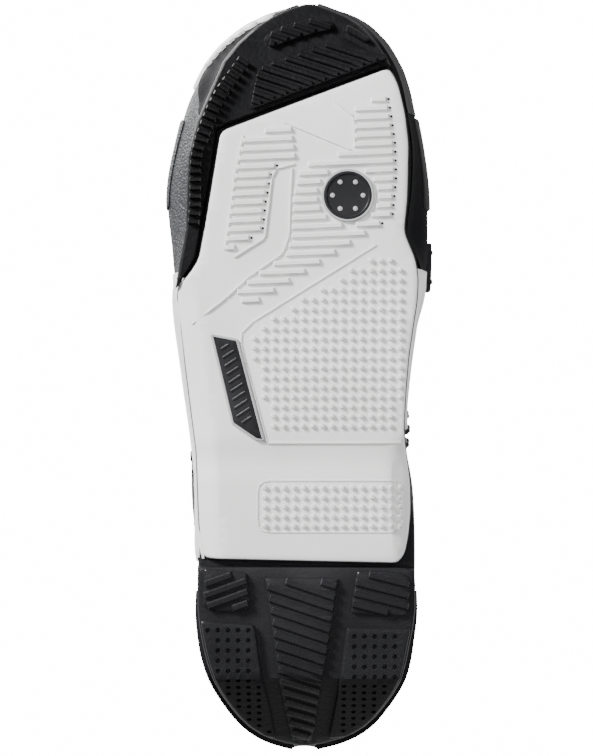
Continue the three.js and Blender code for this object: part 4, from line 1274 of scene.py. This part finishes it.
# Stitching of the shaft: along the guards and down both edges of the hinge strip.
shaft_thread = Shape()
for line in ([(54.5, z) for z in range(212, 300, 8)], [(-4.4, z) for z in range(190, 296, 8)]):
    stitches(shaft_thread, round_shaft, line, 3.0)
for a in (70.5, 119.5):
    stitches(shaft_thread, round_shaft, [(a, z) for z in range(196, 302, 8)], 2.4, 4.0, 2.8)
for a in (338.5, 344):
    stitches(shaft_thread, round_shaft, [(a, z) for z in range(172, 344, 8)], 2.05, 4.0, 2.8)
shaft_thread.piece("shaft_stitching", "shaft", thread_grey, "webbing")

# Buckles: each strap is a toothed plastic band riveted at the inner side. It carries a steel pin and a cast
# lever with a claw, which hooks behind a tooth of the catch on the outer side and folds flat over it.


strap_rise, catch_rise = 3.9, 0.5
band_tooth_pitch, catch_tooth_pitch = 4.2, 4.3


def buckle(name, surface, bodies, anchor, start, end, v, per_mm, base, catch_base, length):
    """One buckle on a surface. bodies are those of the strap, lever, catch and rivets. The strap runs from
    start to end at the height v, and length is the lever's."""
    per_u = 0.01 / (surface(end, v, 0) - surface(end - 0.01, v, 0)).length

    def local(p, h):
        return surface(end - p.x * per_u, v + p.y * per_mm, h)
    first = (end - start) / per_u
    band = Shape()
    outline = rounded([(first, -10.6), (-1, -10.6), (3, -10.2), (3, -6.3), (0.4, -5.9), (0.4, 5.9),
                       (3, 6.3), (3, 10.2), (-1, 10.6), (first, 10.6)], 1.2)
    pad(band, outline, [(0, base), (0, base + 1.6), (0.3, base + 2.2), (0.9, base + 2.4)], local, back=base,
        grid=3.8)
    for k in range(max(6, int((-first - 40) / band_tooth_pitch))):
        x = -8 - band_tooth_pitch * k
        bar(band, (x, -6.6), (x, 6.6), 1.9, base + 2.3, base + 3.1, local, 4)
    spots = [first + 4 + (-8 - first) * k / 20 for k in range(21)]
    for y in (-9.2, 9.2):
        ridge(band, [(x, y) for x in spots], 1.3, base + 2.2, base + 2.8, local)
    pin_at = local(Vector((5.4, 0)), base + 2.4)
    line = (local(Vector((5.4, 10)), base + 2.4) - local(Vector((5.4, -10)), base + 2.4)).normalized()
    eye_profile = [(0, 1.6), (0, 2.8), (0.4, 3.2), (3.9, 3.2), (4.3, 2.8), (4.3, 1.6)]
    for y in (-10.6, 6.3):
        turned(band, pin_at + line * y, line, eye_profile, 20)
    band.piece("strap_" + name, bodies[0], tpu_black, "black_tpu", "strap_" + name, sharp=38)
    pin = Shape()
    pin_profile = [(0, 1.1), (0.25, 1.8), (0.5, 1.5), (21.3, 1.5), (21.55, 1.8), (21.8, 1.1)]
    turned(pin, pin_at - line * 10.9, line, pin_profile, 16)
    pin.piece("lever_pin_" + name, bodies[0], steel, "steel", "lever_pin_" + name, sharp=35)
    lever = Shape()
    lever_outline = [(4, -5.6), (9.6, -5.7), (12.4, -8.9), (length - 8, -8.4), (length - 1.5, -5.6),
                     (length - 0.4, 0), (length - 1.5, 5.6), (length - 8, 8.4), (12.4, 8.9), (9.6, 5.7),
                     (4, 5.6)]
    middle = (14 + length - 9) / 2
    window = [Vector((q.y, q.x)) for q in slot(0, middle, length - 26, 7.0)]
    pad(lever, rounded(lever_outline, 1.6), [(0, base + 1.2), (0, base + 3.3), (0.5, base + 4.2),
                                             (1.3, base + 4.6)], local, holes=[window], hole_depth=-2.0,
        back=base + 1.2, grid=3.2)
    for x in (length - 6.6, length - 4.6, length - 2.8):
        bar(lever, (x, -4.2), (x, 4.2), 0.9, base + 4.5, base + 5.0, local, 3)
    bar(lever, (20.5, -5.8), (20.5, 5.8), 2.8, base + 1.9, catch_base + 3.5, local, 4)
    turned(lever, pin_at - line * 5.8, line, [(0, 2), (0, 2.8), (0.4, 3.2), (11.2, 3.2), (11.6, 2.8),
                                              (11.6, 2)], 24)
    lever.piece("lever_" + name, bodies[1], aluminium, "aluminium", "lever_" + name, sharp=38)
    catch = Shape()
    catch_outline = rounded([(11, -6), (13, -7.8), (length - 13, -7.8), (length - 11, -6), (length - 11, 6),
                             (length - 13, 7.8), (13, 7.8), (11, 6)], 1)
    pad(catch, catch_outline, [(0, catch_base), (0, catch_base + 1.6), (0.4, catch_base + 2.0)], local,
        back=catch_base, grid=3.2)
    x = 14.5
    while x < length - 13:
        bar(catch, (x, -6), (x, 6), 1.8, catch_base + 1.9, catch_base + (3.3 if x < 15 else 2.7), local, 3)
        x += catch_tooth_pitch
    catch.piece("catch_" + name, bodies[2], aluminium, "aluminium", "catch_" + name, sharp=38)
    rivets = Shape()
    x0, x1 = (end - anchor[1]) / per_u, (end - anchor[0]) / per_u
    pad(rivets, rounded([(x0, -10.4), (x1, -10.4), (x1, 10.4), (x0, 10.4)], 1.2),
        [(0, base), (0, base + 1.6), (0.3, base + 2.1)], local, back=base, grid=3.2)
    for y in (-6.2, 6.2):
        foot_of = local(Vector(((x0 + x1) / 2, y)), base + 1.8)
        top_of = local(Vector(((x0 + x1) / 2, y)), base + 4)
        turned(rivets, foot_of, top_of - foot_of, [(0, 1.5), (0.6, 1.45), (1.2, 1.1), (1.5, 0.5)], 14)
    rivets.piece("strap_anchor_" + name, bodies[3], steel, "steel", "strap_anchor_" + name, sharp=38)


def foot_surface(t, w, h):
    """A point over the foot. t runs across it from 0 to 1, and w from -1 at the toe to 1 at the heel."""
    return over_foot(Vector((t * foot_girth, foot_end * math.sin(math.pi / 2 * w))), h)


step_angle = math.radians(6.5)
for name, z in zip(("lower", "middle", "upper"), strap_heights):
    shin_edge = math.radians(335)
    buckle(name, on_shaft, ("strap_" + name, "lever_" + name, "shaft", "shin_flap"),
           (shin_edge - 0.6 * step_angle, shin_edge - 0.1 * step_angle), shin_edge - step_angle,
           math.radians(205) - step_angle, z, 1.0, strap_rise, catch_rise, 47)
buckle("instep", foot_surface, ("strap_instep", "lever_instep", "foot", "foot"), (12.4 / 16, 12.85 / 16),
       12.25 / 16, 6.5 / 16, -0.2, 1 / 236, strap_rise, catch_rise, 38)

# Lights, world and floor: square soft boxes below and above, the weaker of which give no gloss. The world
# is dim but white to the camera, and the floor is pale and seen only from above.
for name, where, aim, size, power, glossy in (
        ("under_left", (-0.9, -0.68, -0.58), 0.02, 0.36, 52, True),
        ("under_right", (0.9, 0.4, -0.7), 0.02, 0.8, 8, False),
        ("under_middle", (0.1, -0.2, -1.3), 0.02, 0.8, 10.5, False),
        ("over_left", (-0.9, -0.9, 1.1), 0.18, 1.0, 16, True),
        ("over_right", (1.1, 0.1, 0.8), 0.18, 0.9, 15, False),
        ("behind", (-0.2, 1.2, 0.9), 0.2, 0.9, 9, False)):
    lamp = bpy.data.objects.new(name, bpy.data.lights.new(name, "AREA"))
    lamp.data.shape, lamp.data.size, lamp.data.size_y = "RECTANGLE", size, size
    lamp.data.energy = power
    lamp.location = where
    lamp.rotation_euler = (Vector((0, 0, aim)) - Vector(where)).to_track_quat("-Z", "Y").to_euler()
    lamp.visible_glossy = glossy
    bpy.context.scene.collection.objects.link(lamp)
world = bpy.data.worlds.new("studio")
bpy.context.scene.world = world
world.use_nodes = True
nodes, link = world.node_tree.nodes, world.node_tree.links.new
backdrop = nodes["Background"]
backdrop.inputs["Color"].default_value = (1, 1, 1, 1)
way, split, ray = added(nodes, "TexCoord"), added(nodes, "SeparateXYZ"), added(nodes, "LightPath")
fade = added(nodes, "MapRange", {"From Min": -0.15, "From Max": 0.6, "To Min": 0.04, "To Max": 0.5})
seen = added(nodes, "Mix", {"B": 16.0})
link(way.outputs["Generated"], split.inputs["Vector"])
link(split.outputs["Z"], fade.inputs["Value"])
link(fade.outputs["Result"], seen.inputs["A"])
link(ray.outputs["Is Camera Ray"], seen.inputs["Factor"])
link(seen.outputs["Result"], backdrop.inputs["Strength"])
floor = bpy.data.objects.new("floor", bpy.data.meshes.new("floor"))
floor.data.from_pydata([(-6, -6, 0), (6, -6, 0), (6, 6, 0), (-6, 6, 0)], [], [(0, 1, 2, 3)])
bpy.context.scene.collection.objects.link(floor)
pale = bpy.data.materials.new("pale floor")
pale.use_nodes = True
nodes, link = pale.node_tree.nodes, pale.node_tree.links.new
shader = nodes["Principled BSDF"]
shader.inputs["Base Color"].default_value = (0.82, 0.82, 0.81, 1)
shader.inputs["Roughness"].default_value = 0.9
shader.inputs["Emission Color"].default_value = (1, 1, 1, 1)
shader.inputs["Emission Strength"].default_value = 1.0
clear, facing, both = added(nodes, "BsdfTransparent"), added(nodes, "NewGeometry"), added(nodes, "MixShader")
link(facing.outputs["Backfacing"], both.inputs["Fac"])
link(shader.outputs["BSDF"], both.inputs[1])
link(clear.outputs["BSDF"], both.inputs[2])
link(both.outputs["Shader"], nodes["Material Output"].inputs["Surface"])
floor.data.materials.append(pale)
floor.visible_diffuse = floor.visible_glossy = floor.visible_transmission = floor.visible_shadow = False
